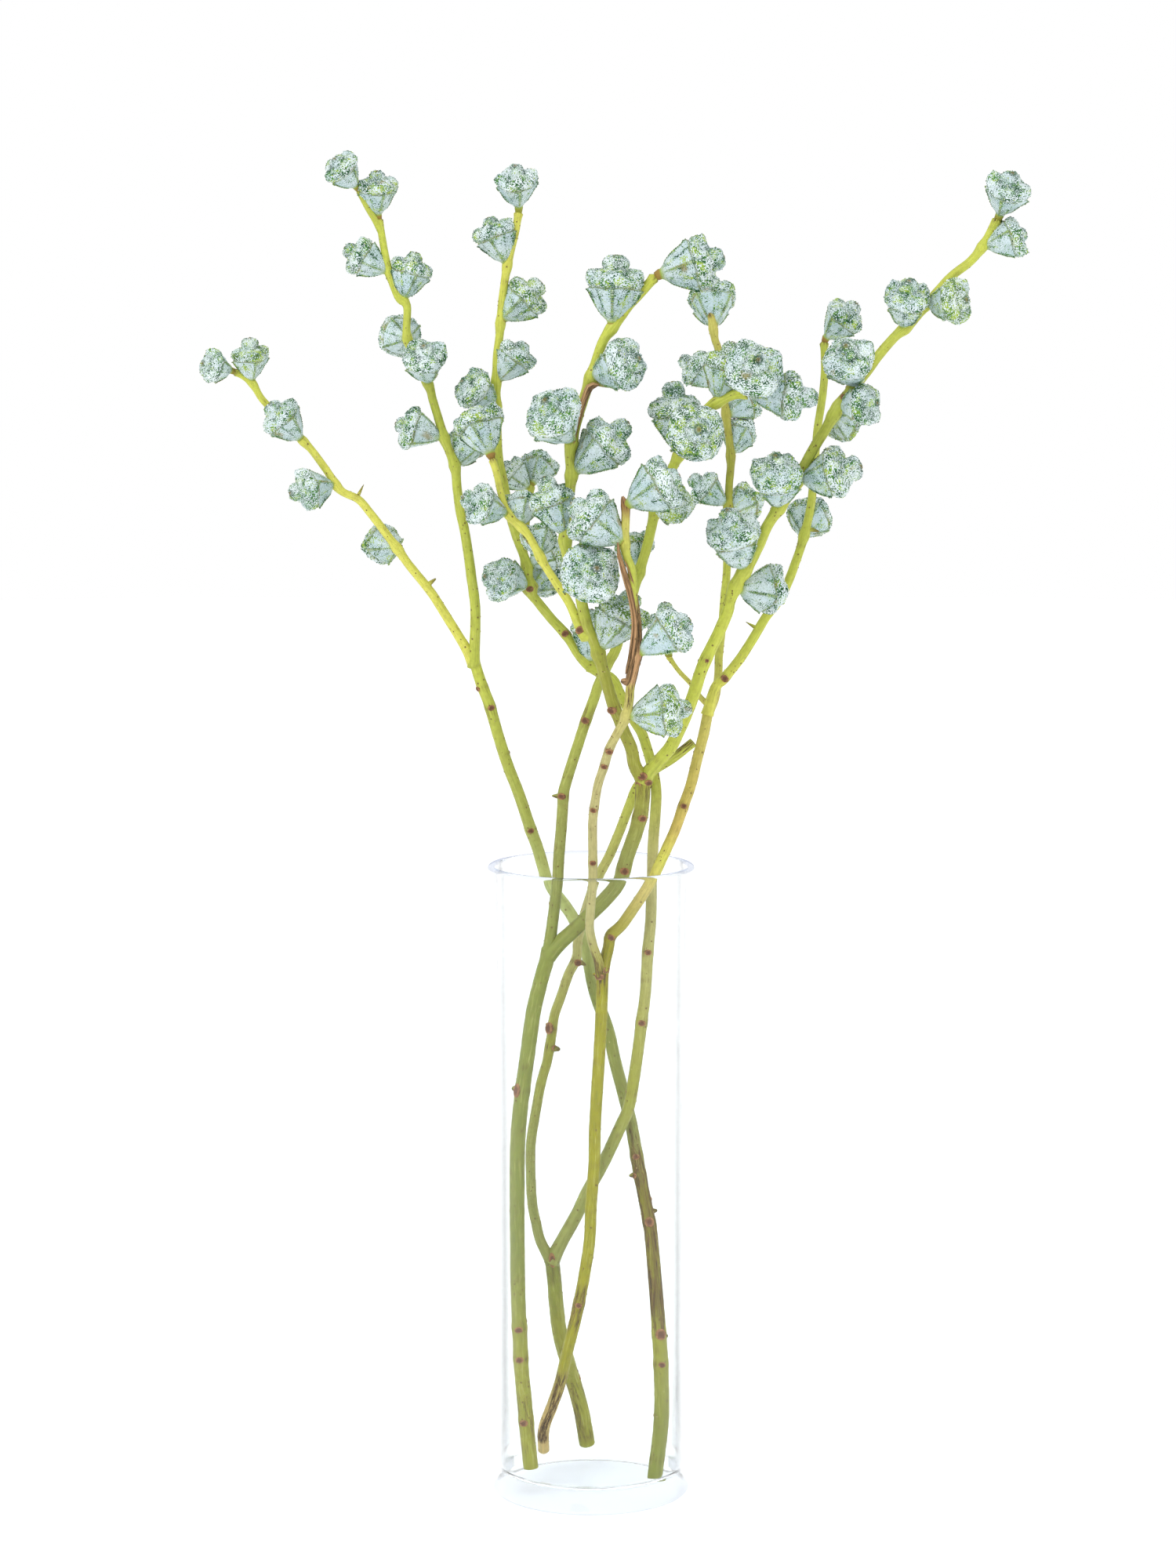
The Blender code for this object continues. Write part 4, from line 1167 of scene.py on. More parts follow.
class PointScatter(Grower):
    """Sets one small shape on each point, turned and sized by the point's own attributes."""

    name = "point_scatter"
    inputs = (("Shape", "Object", None),)

    @staticmethod
    def wire(wiring: Wiring, source: bpy.types.NodeOutputs) -> Socket:
        """Wires the tree."""
        outward, lengthwise, size = (wiring.field(label, "FLOAT_VECTOR")
                                     for label in SPOT_FIELDS)
        spots = wiring.node("GeometryNodeMeshToPoints", {"Mesh": source["Geometry"]})
        turned = wiring.node("FunctionNodeAxesToRotation", {
            "Primary Axis": outward, "Secondary Axis": lengthwise},
            primary_axis="Z", secondary_axis="X")
        return set_shapes(wiring, source, spots.outputs[0], turned, size)

    @classmethod
    def scatter(cls, name: str, spots: list[Spot], shape: bpy.types.Object,
                material: bpy.types.Material) -> bpy.types.Object:
        """Sets a shape on each spot.

        Args:
            name: The new object's name.
            spots: Where each copy goes.
            shape: The object to copy.
            material: What the copies are made of.

        Returns:
            One object with all the copies.
        """
        host = bpy.data.meshes.new(name)
        host.from_pydata([tuple(spot.place) for spot in spots], [], [])
        for label in SPOT_FIELDS:
            add_values(host, label, "FLOAT_VECTOR",
                       [value for spot in spots for value in getattr(spot, label)])
        return cls.grow(name, host, {"Shape": shape, "Material": material})


SPOT_FIELDS = ("outward", "lengthwise", "size")


@dataclass(frozen=True)
class Spot:
    """A place on a surface for a small shape: its way out, its lengthwise way and its size."""

    place: Vector
    outward: Vector
    lengthwise: Vector
    size: Vector


def set_shapes(wiring: Wiring, source: bpy.types.NodeOutputs, points: object,
               turned: bpy.types.Node, size: object) -> Socket:
    """Sets the tree's small shape on points, and returns the copies."""
    shape = wiring.node("GeometryNodeObjectInfo", {"Object": source["Shape"]},
                        transform_space="ORIGINAL")
    return wiring.node("GeometryNodeInstanceOnPoints", {
        "Points": points, "Instance": shape.outputs["Geometry"],
        "Rotation": turned.outputs[0], "Scale": size}).outputs[0]


def add_values(mesh: bpy.types.Mesh, name: str, kind: str, values: object) -> None:
    """Gives each point of a mesh a named value, vector or colour."""
    part = {"FLOAT": "value", "FLOAT_VECTOR": "vector", "FLOAT_COLOR": "color"}[kind]
    mesh.attributes.new(name, kind, "POINT").data.foreach_set(part, values)


def put_in_scene(name: str, data: bpy.types.ID) -> bpy.types.Object:
    """Makes an object of a mesh, light or camera and links it to the scene."""
    item = bpy.data.objects.new(name, data)
    bpy.context.scene.collection.objects.link(item)
    return item


def dress(item: bpy.types.Object, slot: str, *nodes: str) -> None:
    """Fixes a piece to the model.

    Args:
        item: The piece.
        slot: Not used.
        *nodes: Solids that it stands for.
    """
    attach(item, BODY)
    if nodes:
        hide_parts(*nodes)
    item.data.calc_loop_triangles()
    LOG.info("piece %s: %d triangles", item.name, len(item.data.loop_triangles))


def turned_mesh(name: str, outline: tuple, sides: int) -> bpy.types.Mesh:
    """Turns an outline of radius and height round Z into a mesh.

    Args:
        name: The mesh's name.
        outline: Radius and height of each ring; a ring of radius 0 closes an end.
        sides: Corners in each ring.

    Returns:
        The mesh, with its faces pointing outwards.
    """
    shape = bmesh.new()
    rings = []
    for radius, height in outline:
        corners = range(sides if radius else 1)
        rings.append([shape.verts.new((radius * math.cos(math.tau * n / sides),
                                       radius * math.sin(math.tau * n / sides), height))
                      for n in corners])
    for low, high in zip(rings, rings[1:]):
        for n in range(sides):
            corners = [low[n % len(low)], low[(n + 1) % len(low)],
                       high[(n + 1) % len(high)], high[n % len(high)]]
            shape.faces.new(list(dict.fromkeys(corners)))
    mesh = bpy.data.meshes.new(name)
    write_outwards(shape, mesh)
    mesh.shade_smooth()
    return mesh


def write_outwards(shape: bmesh.types.BMesh, mesh: bpy.types.Mesh) -> None:
    """Turns the faces of closed shells outwards and writes them to a mesh."""
    bmesh.ops.recalc_face_normals(shape, faces=shape.faces)
    shape.to_mesh(mesh)
    shape.free()


@dataclass
class Vase:
    """The clear glass cylinder, in metres."""

    height: float = 0.310
    rim_radius: float = 0.050
    foot_radius: float = 0.0483
    wall: float = 0.0033
    floor: float = VASE_FLOOR
    foot_rounding: float = 0.0025
    segments: int = 192
    lip_steps: int = 8
    finish: GlassFinish = field(default_factory=GlassFinish)

    def arc(self, radius: float, height: float, size: float, start: float,
            end: float) -> list[tuple[float, float]]:
        """Points of a rounded edge.

        Args:
            radius: Distance of the arc's centre from the axis.
            height: Height of the arc's centre.
            size: The arc's radius.
            start: Its first angle in degrees, from outwards through up.
            end: Its last angle in degrees.

        Returns:
            Radius and height of each point.
        """
        turns = [math.radians(start + (end - start) * n / self.lip_steps)
                 for n in range(self.lip_steps + 1)]
        return [(radius + size * math.cos(t), height + size * math.sin(t)) for t in turns]

    def outline(self) -> tuple:
        """The section, from the underside up the outside and down the inside."""
        half = self.wall / 2
        bend = self.foot_rounding
        inner_bend = self.wall * 1.5
        inside = self.foot_radius - self.wall
        return ((0.0, 0.0), *self.arc(self.foot_radius - bend, bend, bend, -90, 0),
                *self.arc(self.rim_radius - half, self.height - half, half, 0, 180),
                *self.arc(inside - inner_bend, self.floor + inner_bend, inner_bend, 0, -90),
                (0.0, self.floor))

    def build(self) -> None:
        """Makes the vase."""
        mesh = turned_mesh("glass_vase", self.outline(), self.segments)
        mesh.materials.append(self.finish.material())
        dress(put_in_scene("glass_vase", mesh), "clear_glass", "vase")


TAPERED_TIPS = {"c_left": 9 * MM, "spray_2_tip": 3 * MM}


def read_marks(marks: tuple, down: float) -> tuple[float, ...]:
    """Reads values that are given at pixels down the picture, and change evenly in between.

    Args:
        marks: Pixels down, from the lowest place up, each with a tuple of values. Below the
            first one its values hold.
        down: The pixels down at which they are read.

    Returns:
        The values there.
    """
    if down >= marks[0][0]:
        return marks[0][1]
    for (low, low_values), (high, high_values) in zip(marks, marks[1:]):
        if down >= high:
            share = (low - down) / (low - high)
            return tuple(a + (b - a) * share for a, b in zip(low_values, high_values))
    return marks[-1][1]


class LimbShape:
    """A limb in space: its smooth centre line, thickness and colours."""

    spacing = 1.6 * MM
    flare = 0.30
    flare_length = 5 * MM
    nearest_root = 0.3 * MM
    farthest_root = 14 * MM
    swelling = 0.36
    swelling_length = 2.8 * MM
    stain_length = 2.2 * MM
    foot_below = 60
    wear_fade = 14
    blunt_end = 0.28
    rounded_end = 1.2 * MM
    end_stain = 0.9

    def __init__(self, limb: Limb, tones: tuple) -> None:
        """Works the limb out from its sightings.

        Args:
            limb: The limb.
            tones: Pixels down and bark tone, from its foot up.
        """
        self.limb = limb
        self.tones = tones
        self.knots = [VIEW.place(across, down, self.behind(down)) for across, down in limb.route]
        self.knot_downs = [down for _, down in limb.route]
        if limb.foot:
            foot = Vector((limb.foot[0] * MM, limb.foot[1] * MM, VASE_FLOOR + REST_GAP))
            self.knots.insert(0, foot)
            self.knot_downs.insert(0, limb.route[0][1] + self.foot_below)
        self.knot_radii = self.taper(self.knots)
        self.points, self.downs = self.smooth()
        self.radii = self.taper(self.points)
        self.wear = [self.worn(down) for down in self.downs]
        if limb.name in TAPERED_TIPS:
            self.taper_tip(TAPERED_TIPS[limb.name])
        elif limb.name.startswith("spray"):
            self.taper_tip(self.rounded_end)
            self.stain_at(len(self.points) - 1, self.end_stain)

    def worn(self, down: float) -> float:
        """How browned the bark is at a height in the picture, from 0 to 1."""
        most = 0.0
        for stretch in WORN_STRETCHES:
            if stretch.limb == self.limb.name:
                inside = min(stretch.low - down, down - stretch.high) / self.wear_fade
                most = max(most, stretch.amount * min(max(inside + 0.5, 0), 1))
        return most

    def taper_tip(self, length: float, end: int = -1) -> None:
        """Draws one end of the limb in to a blunt point."""
        for n, point in enumerate(self.points):
            share = min((self.points[end] - point).length / length, 1)
            self.radii[n] *= self.blunt_end + (1 - self.blunt_end) * math.sqrt(share)

    def behind(self, down: float) -> float:
        """The distance behind the vase's axis at a height in the picture, in metres."""
        return read_marks([(mark, (value,)) for mark, value in self.limb.behind], down)[0] * MM

    def colour_at(self, down: float) -> Colour:
        """The bark's colour at a height in the picture."""
        return read_marks([(mark, tone.value) for mark, tone in self.tones], down)

    def taper(self, points: list[Vector]) -> list[float]:
        """The radius at each point, which falls evenly along the limb."""
        lengths = [0.0]
        for low, high in zip(points, points[1:]):
            lengths.append(lengths[-1] + (high - low).length)
        thick, thin = self.limb.thick, self.limb.thin
        return [(thick + (thin - thick) * length / lengths[-1]) * MM / 2 for length in lengths]

    def smooth(self) -> tuple[list[Vector], list[float]]:
        """A smooth line through the knots.

        Returns:
            Evenly spaced points, and how far down the picture each lies.
        """
        knots = [self.knots[0] * 2 - self.knots[1], *self.knots,
                 self.knots[-1] * 2 - self.knots[-2]]
        points = []
        downs = []
        for n, (low, high) in enumerate(zip(self.knot_downs, self.knot_downs[1:])):
            before, start, end, after = knots[n:n + 4]
            steps = max(int((end - start).length / self.spacing), 1)
            for step in range(steps):
                t = step / steps
                points.append(0.5 * (2 * start + (end - before) * t
                                     + (2 * before - 5 * start + 4 * end - after) * t * t
                                     + (3 * start - before - 3 * end + after) * t ** 3))
                downs.append(low + (high - low) * t)
        return [*points, self.knots[-1].copy()], [*downs, self.knot_downs[-1]]

    def nearest(self, place: Vector) -> tuple[Vector, float]:
        """The centre and radius of the limb nearest to a place, on its straight-run line."""
        found = []
        for n, (low, high) in enumerate(zip(self.knots, self.knots[1:])):
            run = high - low
            share = min(max((place - low).dot(run) / run.length_squared, 0), 1)
            radius = self.knot_radii[n] + (self.knot_radii[n + 1] - self.knot_radii[n]) * share
            found.append((low + run * share, radius))
        return min(found, key=lambda pair: (place - pair[0]).length)

    def nearest_seen(self, pixel: tuple) -> tuple[Vector, float]:
        """The centre and radius of the limb nearest to a pixel of the photograph."""
        return self.nearest(VIEW.place(*pixel, self.behind(pixel[1])))

    def index_near(self, place: Vector) -> int:
        """The index of the smooth point nearest to a place."""
        return min(range(len(self.points)), key=lambda n: (self.points[n] - place).length_squared)

    def direction(self, index: int) -> Vector:
        """The way up the limb at a point."""
        low = self.points[max(index - 1, 0)]
        high = self.points[min(index + 1, len(self.points) - 1)]
        return (high - low).normalized()

    def closeness(self, index: int, length: float) -> list[tuple[int, float]]:
        """Points near one point, each with a share that falls off over a length."""
        gaps = [(point - self.points[index]).length / length for point in self.points]
        return [(n, math.exp(-gap * gap)) for n, gap in enumerate(gaps) if gap < 3]

    def swell_at(self, place: Vector, amount: float) -> None:
        """Thickens the limb round a place."""
        for n, share in self.closeness(self.index_near(place), self.swelling_length):
            self.radii[n] *= 1 + amount * share

    def stain_at(self, index: int, amount: float) -> None:
        """Browns the bark a little round a point."""
        for n, share in self.closeness(index, self.stain_length):
            self.wear[n] = max(self.wear[n], amount * share)

    def flare_foot(self) -> None:
        """Widens the start of a limb where it leaves its parent."""
        for n, point in enumerate(self.points):
            gap = (point - self.points[0]).length
            self.radii[n] *= 1 + self.flare * math.exp(-gap / self.flare_length)

    def root_in(self, others: list[LimbShape]) -> None:
        """Starts the limb inside the limb that bears it."""
        foot = self.points[0]
        centre, radius = min((other.nearest(foot) for other in others),
                             key=lambda pair: (pair[0] - foot).length)
        if self.nearest_root < (centre - foot).length < self.farthest_root:
            self.points.insert(0, centre - self.direction(0) * radius * 0.4)
            self.radii.insert(0, min(self.radii[0], radius) * 0.8)
            self.downs.insert(0, self.downs[0])
            self.wear.insert(0, self.wear[0])


@dataclass
class NutForm:
    """The form of a gum nut, as shares of its length and half width."""

    sides: int = 56
    rib_closeness: float = 0.08
    rib_width: float = 0.07
    rib_depth: float = 0.072
    fold_depth: float = 0.018
    wrinkle_depth: float = 0.012
    lump_depth: float = 0.013
    lobe_spread: float = 0.34
    lobe_centre: float = 0.686
    lobe_height: float = 0.09
    lobe_reach: float = 0.16
    lobe_rise: float = 1.15
    dip_spread: float = 0.30
    dip_centre: float = 0.68
    dip_height: float = 0.10
    dip_reach: float = 0.55
    dip_drop: float = 0.9
    knuckle_reach: float = 0.034
    knuckle_rise: float = 0.036
    seat: float = 0.7
    neck: float = 0.94
    overlap: float = 1.0 * MM
    length_to_width: float = 1.2
    shortest_to_width: float = 1.08
    longest_to_width: float = 1.34
    crown_centre: float = 0.75
    rim: float = 0.52
    outline: tuple = (
        (0.000, 0.212), (0.024, 0.204), (0.052, 0.238), (0.084, 0.310), (0.124, 0.410),
        (0.173, 0.505), (0.225, 0.590), (0.277, 0.670), (0.329, 0.745), (0.377, 0.815),
        (0.421, 0.880), (0.457, 0.935), (0.483, 0.972), (0.499, 0.985), (0.510, 0.960),
        (0.520, 0.925), (0.536, 0.985), (0.558, 1.045), (0.591, 1.085), (0.632, 1.080),
        (0.673, 1.035), (0.710, 0.955), (0.738, 0.850), (0.757, 0.740), (0.771, 0.630),
        (0.782, 0.530), (0.795, 0.460), (0.823, 0.425), (0.857, 0.415), (0.891, 0.395),
        (0.925, 0.355), (0.954, 0.290), (0.973, 0.215), (0.978, 0.160), (0.965, 0.120),
        (0.978, 0.080), (0.989, 0.040))


NUT_FORM = NutForm()


def hump(values: np.ndarray, width: float) -> np.ndarray:
    """A smooth hump of height 1 where the values are 0."""
    return np.exp(-(values / width) ** 2)


def slope(values: np.ndarray, start: float, length: float) -> np.ndarray:
    """A share that rises from 0 to 1 over a length of the values."""
    return np.clip((values - start) / length, 0, 1)


class NutShape:
    """One gum nut in space, ready to become a mesh."""

    def __init__(self, nut: Nut, shape: LimbShape, turn: float, luck: random.Random) -> None:
        """Finds where the nut grows from and which way it points.

        Args:
            nut: The nut.
            shape: The limb that it grows on.
            turn: How far its ribs are turned about its axis.
            luck: The random draws for its small differences.
        """
        width = nut.width * MM
        form = NUT_FORM
        self.centre, self.limb_radius = shape.nearest_seen(nut.base)
        sunk = self.limb_radius * form.seat
        reach = sunk + width * form.length_to_width * form.crown_centre
        seen = (VIEW.place(*nut.crown, self.centre.y) - self.centre).length
        hidden = math.sqrt(max(reach ** 2 - seen ** 2, 0))
        crown = VIEW.place(*nut.crown, self.centre.y + nut.facing * hidden)
        self.axis = (crown - self.centre).normalized()
        length = ((crown - self.centre).length - sunk) / form.crown_centre
        self.length = min(max(length, width * form.shortest_to_width),
                          width * form.longest_to_width)
        self.half_width = width / 2
        self.base = self.centre + self.axis * sunk
        helper = Vector((0, 0, 1)) if abs(self.axis.z) < 0.9 else Vector((1, 0, 0))
        self.side = self.axis.cross(helper).normalized()
        self.other = self.axis.cross(self.side).normalized()
        self.foot = self.centre.copy()
        if (self.centre - shape.knots[-1]).length < MM:
            self.foot -= shape.direction(len(shape.points) - 1) * form.overlap
        self.turn = turn
        self.tone = luck.random()
        self.lobes = [luck.uniform(0.05, 0.25) for _ in range(4)]
        self.dips = [luck.uniform(0.03, 0.12) for _ in range(4)]
        self.knob_rise = luck.uniform(-0.26, 0.18)
        self.knob_size = luck.uniform(0.0, 0.9)
        self.cap_squareness = luck.uniform(0.0, 0.16)
        self.lobe_shift = [luck.uniform(-0.25, 0.25) for _ in range(4)]
        self.phase = [luck.uniform(0, math.tau) for _ in range(6)]

    def directions(self, angle: np.ndarray) -> np.ndarray:
        """Ways out from the nut's axis at angles round it."""
        return (np.cos(angle + self.turn)[..., None] * np.array(self.side)
                + np.sin(angle + self.turn)[..., None] * np.array(self.other))

    def rings(self) -> tuple[np.ndarray, dict[str, np.ndarray], dict[str, np.ndarray]]:
        """The nut's surface.

        Returns:
            Points as rings by sides by three, the masks that the finish reads, and the
            directions and coordinates that its marks and warts follow.
        """
        form = NUT_FORM
        phase = self.phase
        height, radius = np.array(form.outline).T
        even = np.linspace(0, math.tau, form.sides, endpoint=False)
        h = height[:, None]
        a = (even - form.rib_closeness * np.sin(4 * even))[None, :]
        flat = np.ones_like(a)
        # The funnel: four-sided, with toothed ribs, folds between them and fine wrinkles
        turned = np.mod(a, math.pi / 2)
        off_rib = np.minimum(turned, math.pi / 2 - turned)
        square = math.cos(math.pi / 4) / np.cos(turned - math.pi / 4)
        body = 1 / (1 + np.exp((h - form.rim) / 0.006))
        stands = slope(h, 0, 0.12)
        squareness = (body * (0.66 - 0.30 * h) * slope(h, 0, 0.16)
                      + (1 - body) * self.cap_squareness)
        rib = hump(off_rib, form.rib_width) * body
        fold = hump(off_rib - math.pi / 4, form.rib_width) * body
        teeth = 1 + 0.35 * np.sin(h * 110 + phase[0])
        wrinkle = np.sin(a * 9 + phase[1] + 5 * h) * np.sin(h * 24 + phase[2])
        section = (squareness * square * 1.04 + (1 - squareness) * 0.965
                   + rib * stands * form.rib_depth * teeth
                   + fold * stands * form.fold_depth * np.sin(h * 34 + phase[1])
                   + body * stands * form.wrinkle_depth * wrinkle)
        reach = radius[:, None] * section
        lift = np.zeros_like(reach)
        # The cap: lobes over the ribs, dips between them, a bent knob and small knuckles
        for n in range(4):
            around = np.angle(np.exp(1j * (a - n * math.pi / 2 - self.lobe_shift[n])))
            lobe = (self.lobes[n] * hump(around, form.lobe_spread)
                    * hump(h - form.lobe_centre, form.lobe_height))
            around = np.angle(np.exp(1j * (a - (n + 0.5) * math.pi / 2)))
            dip = (self.dips[n] * hump(around, form.dip_spread)
                   * hump(h - form.dip_centre, form.dip_height))
            reach = reach + lobe * form.lobe_reach - dip * form.dip_reach
            lift = lift + lobe * form.lobe_rise - dip * form.dip_drop
        upper = slope(h, 0.80, 0.04) * np.clip((1.0 - h) / 0.02, 0, 1)
        reach = reach * (1 + upper * self.knob_size * np.cos(2 * a + phase[2]) * 0.12)
        reach = reach * (1 + upper * (self.knob_size - 0.2) * 0.35)
        lump = (np.sin(3 * a + phase[3] + 9 * h) + np.sin(5 * a + phase[4] - 14 * h)
                + np.sin(2 * a + phase[5])) * form.lump_depth * slope(h, 0, 0.2)
        knuckles = np.sin(9 * a + phase[1]) * np.sin(h * 46 + phase[0]) * (1 - body)
        reach = reach * (1 + lump + form.knuckle_reach * knuckles)
        lift = (lift + form.knuckle_rise * knuckles
                + self.knob_rise * slope(h, 0.775, 0.07)
                + 0.02 * np.sin(4 * a + phase[2]) * slope(h, 0.4, 0.1))
        along = h * self.length + lift * self.half_width
        points = (np.array(self.base) + along[..., None] * np.array(self.axis)
                  + (reach * self.half_width)[..., None] * self.directions(a))
        # What the finish reads
        cap = slope(h, form.rim + 0.004, 0.012) * flat
        top = np.where(h > 0.9, radius[:, None], 1.0)
        pit = np.clip((0.09 - top) / 0.03, 0, 1) * flat
        warty = (cap * (1 - pit) + rib * stands * 0.25 * (h > 0.08) + fold * stands * 0.12
                 + 0.03 * stands)
        # The groove mask is painted shade: a dark line in the groove under the cap's rim.
        # The knob mask is painted shade: a dark ring in the groove round the central knob.
        masks = {"rib": hump(off_rib, 0.12) * body * stands, "cap": cap,
                 "rim": hump(h - form.rim, 0.020) * flat,
                 "stalk": (1 - slope(h, 0.02, 0.075)) * flat,
                 "knob": hump(top - 0.14, 0.035) * flat, "joint": (1 - slope(h, 0, 0.02)) * flat,
                 "fold": fold * stands, "groove": hump(h - form.rim, 0.012) * flat, "pit": pit,
                 "warty": np.clip(warty, 0, 1), "tone": np.full_like(reach, self.tone)}
        steps = np.hypot(np.diff(height) * self.length, np.diff(radius) * self.half_width)
        meridian = np.concatenate([[0.0], np.cumsum(steps)])[:, None] * flat
        whorl = np.stack([np.cos(a) * np.ones_like(h), np.sin(a) * np.ones_like(h), meridian],
                         axis=-1)
        way = self.directions(a + math.pi / 2) * np.ones_like(whorl)
        return points, masks, {"whorl": whorl, "round_way": way}

    def rib_spots(self, count: int, luck: random.Random) -> list[Spot]:
        """Places for the small teeth along the ribs.

        Args:
            count: How many teeth each rib has.
            luck: The random draws for their sizes.

        Returns:
            The teeth's places.
        """
        points, _, ways = self.rings()
        heights = [height for height, _ in NUT_FORM.outline]
        first = next(n for n, height in enumerate(heights) if height > 0.1)
        last = next(n for n, height in enumerate(heights) if height > NUT_FORM.rim - 0.03)
        spots = []
        quarter = NUT_FORM.sides // 4
        for rib in range(4):
            line = [Vector(points[n][rib * quarter]) for n in range(first, last + 1)]
            around = Vector(ways["round_way"][first][rib * quarter])
            for n in range(count):
                at = (n + luck.uniform(0.2, 0.8)) / count * (len(line) - 1)
                low = min(int(at), len(line) - 2)
                place = line[low].lerp(line[low + 1], at - low)
                outward = around.cross((line[low + 1] - line[low]).normalized())
                if outward.dot(place - self.base) < 0:
                    outward = -outward
                size = luck.uniform(0.6, 1.0) * MM * min(max(self.half_width / 0.012, 0.7), 1.1)
                spots.append(Spot(place, outward, around,
                                  Vector((size, luck.uniform(0.24, 0.36) * MM,
                                          luck.uniform(0.14, 0.26) * MM))))
        return spots

    def rim_spots(self, pitch: float, luck: random.Random) -> list[Spot]:
        """Places for the beads of the rim.

        Args:
            pitch: The distance from bead to bead.
            luck: The random draws for their sizes.

        Returns:
            The beads' places.
        """
        level = min(range(len(NUT_FORM.outline)),
                    key=lambda n: abs(NUT_FORM.outline[n][0] - NUT_FORM.rim))
        ring = self.rings()[0][level]
        spots = []
        count = int(math.tau * self.half_width / pitch)
        for n in range(count):
            at = (n + luck.uniform(-0.2, 0.2)) / count * len(ring)
            low = int(math.floor(at)) % len(ring)
            share = at - math.floor(at)
            place = Vector(ring[low] * (1 - share) + ring[(low + 1) % len(ring)] * share)
            spoke = place - self.base
            outward = (spoke - self.axis * spoke.dot(self.axis)).normalized()
            wide = luck.uniform(0.36, 0.56) * pitch
            spots.append(Spot(place - outward * 0.1 * MM, outward, self.axis,
                              Vector((luck.uniform(0.34, 0.52) * MM, wide,
                                      luck.uniform(0.55, 0.95) * MM))))
        return spots


@dataclass
class NutSpray:
    """The gum nuts of one limb, with their warts and rim beads."""

    limb: str
    nuts: list[NutShape]
    bead_pitch: float = 1.2 * MM
    rib_teeth: int = 15
    wart_spacing: float = 1.16 * MM
    smallest_wart: tuple = (0.36 * MM, 0.22 * MM, 0.18 * MM)
    largest_wart: tuple = (0.80 * MM, 0.42 * MM, 0.48 * MM)

    def skin(self, material: bpy.types.Material) -> bpy.types.Object:
        """Makes the nuts' skins as one mesh with the masks as attributes."""
        vertices = []
        faces = []
        fields: dict[str, list[np.ndarray]] = {}
        for nut in self.nuts:
            points, masks, ways = nut.rings()
            levels, sides, _ = points.shape
            start = sum(len(block) for block in vertices)
            neck = (np.array(nut.foot) + (points[0] - points[0].mean(axis=0))
                    * nut.limb_radius * NUT_FORM.neck
                    / (nut.half_width * NUT_FORM.outline[0][1]))
            tip = points[-1].mean(axis=0) + np.array(nut.axis) * nut.half_width * 0.02
            vertices.append(np.concatenate([neck, points.reshape(-1, 3), tip[None, :]]))
            for low in range(start, start + levels * sides, sides):
                faces.extend((low + n, low + (n + 1) % sides, low + sides + (n + 1) % sides,
                              low + sides + n) for n in range(sides))
            top = start + levels * sides
            faces.extend((top + n, top + (n + 1) % sides, top + sides) for n in range(sides))
            faces.append(tuple(start + n for n in reversed(range(sides))))
            for name, values in (masks | ways).items():
                rows = values.reshape(-1, *values.shape[2:])
                fields.setdefault(name, []).append(
                    np.concatenate([values[0], rows, values[-1][:1]]))
        mesh = bpy.data.meshes.new(f"nuts_{self.limb}")
        mesh.from_pydata(np.concatenate(vertices).tolist(), [], faces)
        for name, blocks in fields.items():
            values = np.concatenate(blocks)
            add_values(mesh, name, "FLOAT" if values.ndim == 1 else "FLOAT_VECTOR",
                       values.ravel())
        mesh.materials.append(material)
        mesh.shade_smooth()
        return put_in_scene(mesh.name, mesh)

    def build(self, stem: str, finishes: dict[str, bpy.types.Material],
              shapes: dict[str, bpy.types.Object], seed: int) -> None:
        """Makes the pieces of this spray.

        Args:
            stem: The node that they belong to.
            finishes: Materials by name.
            shapes: Small shapes by name.
            seed: The seed of the random draws.
        """
        luck = random.Random(seed)
        skin = self.skin(finishes["bloom"])
        warts = WartScatter.grow(f"warts_{self.limb}", skin.data.copy(), {
            "Spacing": self.wart_spacing, "Smallest": self.smallest_wart,
            "Largest": self.largest_wart, "Seed": seed, "Shape": shapes["wart"],
            "Material": finishes["wart"]})
        spots = [spot for nut in self.nuts for spot in nut.rim_spots(self.bead_pitch, luck)]
        spots.extend(spot for nut in self.nuts for spot in nut.rib_spots(self.rib_teeth, luck))
        beads = PointScatter.scatter(f"rim_teeth_{self.limb}", spots, shapes["tooth"],
                                     finishes["rim"])
        dress(skin, "stem_bark", stem)
        dress(warts, "stem_bark")
        dress(beads, "stem_bark")


@dataclass(frozen=True)
class Section:
    """The section that is swept: corners, and unevenness and fluting as shares of thickness."""

    sides: int
    unevenness: float
    fluting: float


BARK_SECTION = Section(16, 0.13, 0.012)
BUD_SECTION = Section(12, 0.3, 0.06)
STRIP_SECTION = Section(12, 0.5, 0.16)


def sweep(name: str, shapes: list[LimbShape], section: Section,
          material: bpy.types.Material, *nodes: str) -> None:
    """Sweeps bark round limbs and fixes it to the model as one piece.

    Args:
        name: The piece's name.
        shapes: The limbs.
        section: What is swept along them.
        material: Its finish.
        *nodes: Solids that it stands for.
    """
    places = []
    edges = []
    for shape in shapes:
        start = len(places)
        places.extend(tuple(point) for point in shape.points)
        edges.extend((start + n, start + n + 1) for n in range(len(shape.points) - 1))
    host = bpy.data.meshes.new(f"{name}_lines")
    host.from_pydata(places, edges, [])
    add_values(host, "thickness", "FLOAT", [radius for shape in shapes for radius in shape.radii])
    add_values(host, "wear", "FLOAT", [wear for shape in shapes for wear in shape.wear])
    add_values(host, "bark", "FLOAT_COLOR", [
        part for shape in shapes for down in shape.downs for part in (*shape.colour_at(down), 1)])
    item = TubeSweep.grow(name, host, {
        "Sides": section.sides, "Unevenness": section.unevenness, "Fluting": section.fluting,
        "Material": material})
    shape = bmesh.new()
    shape.from_mesh(item.data)
    write_outwards(shape, item.data)
    dress(item, "stem_bark", *nodes)


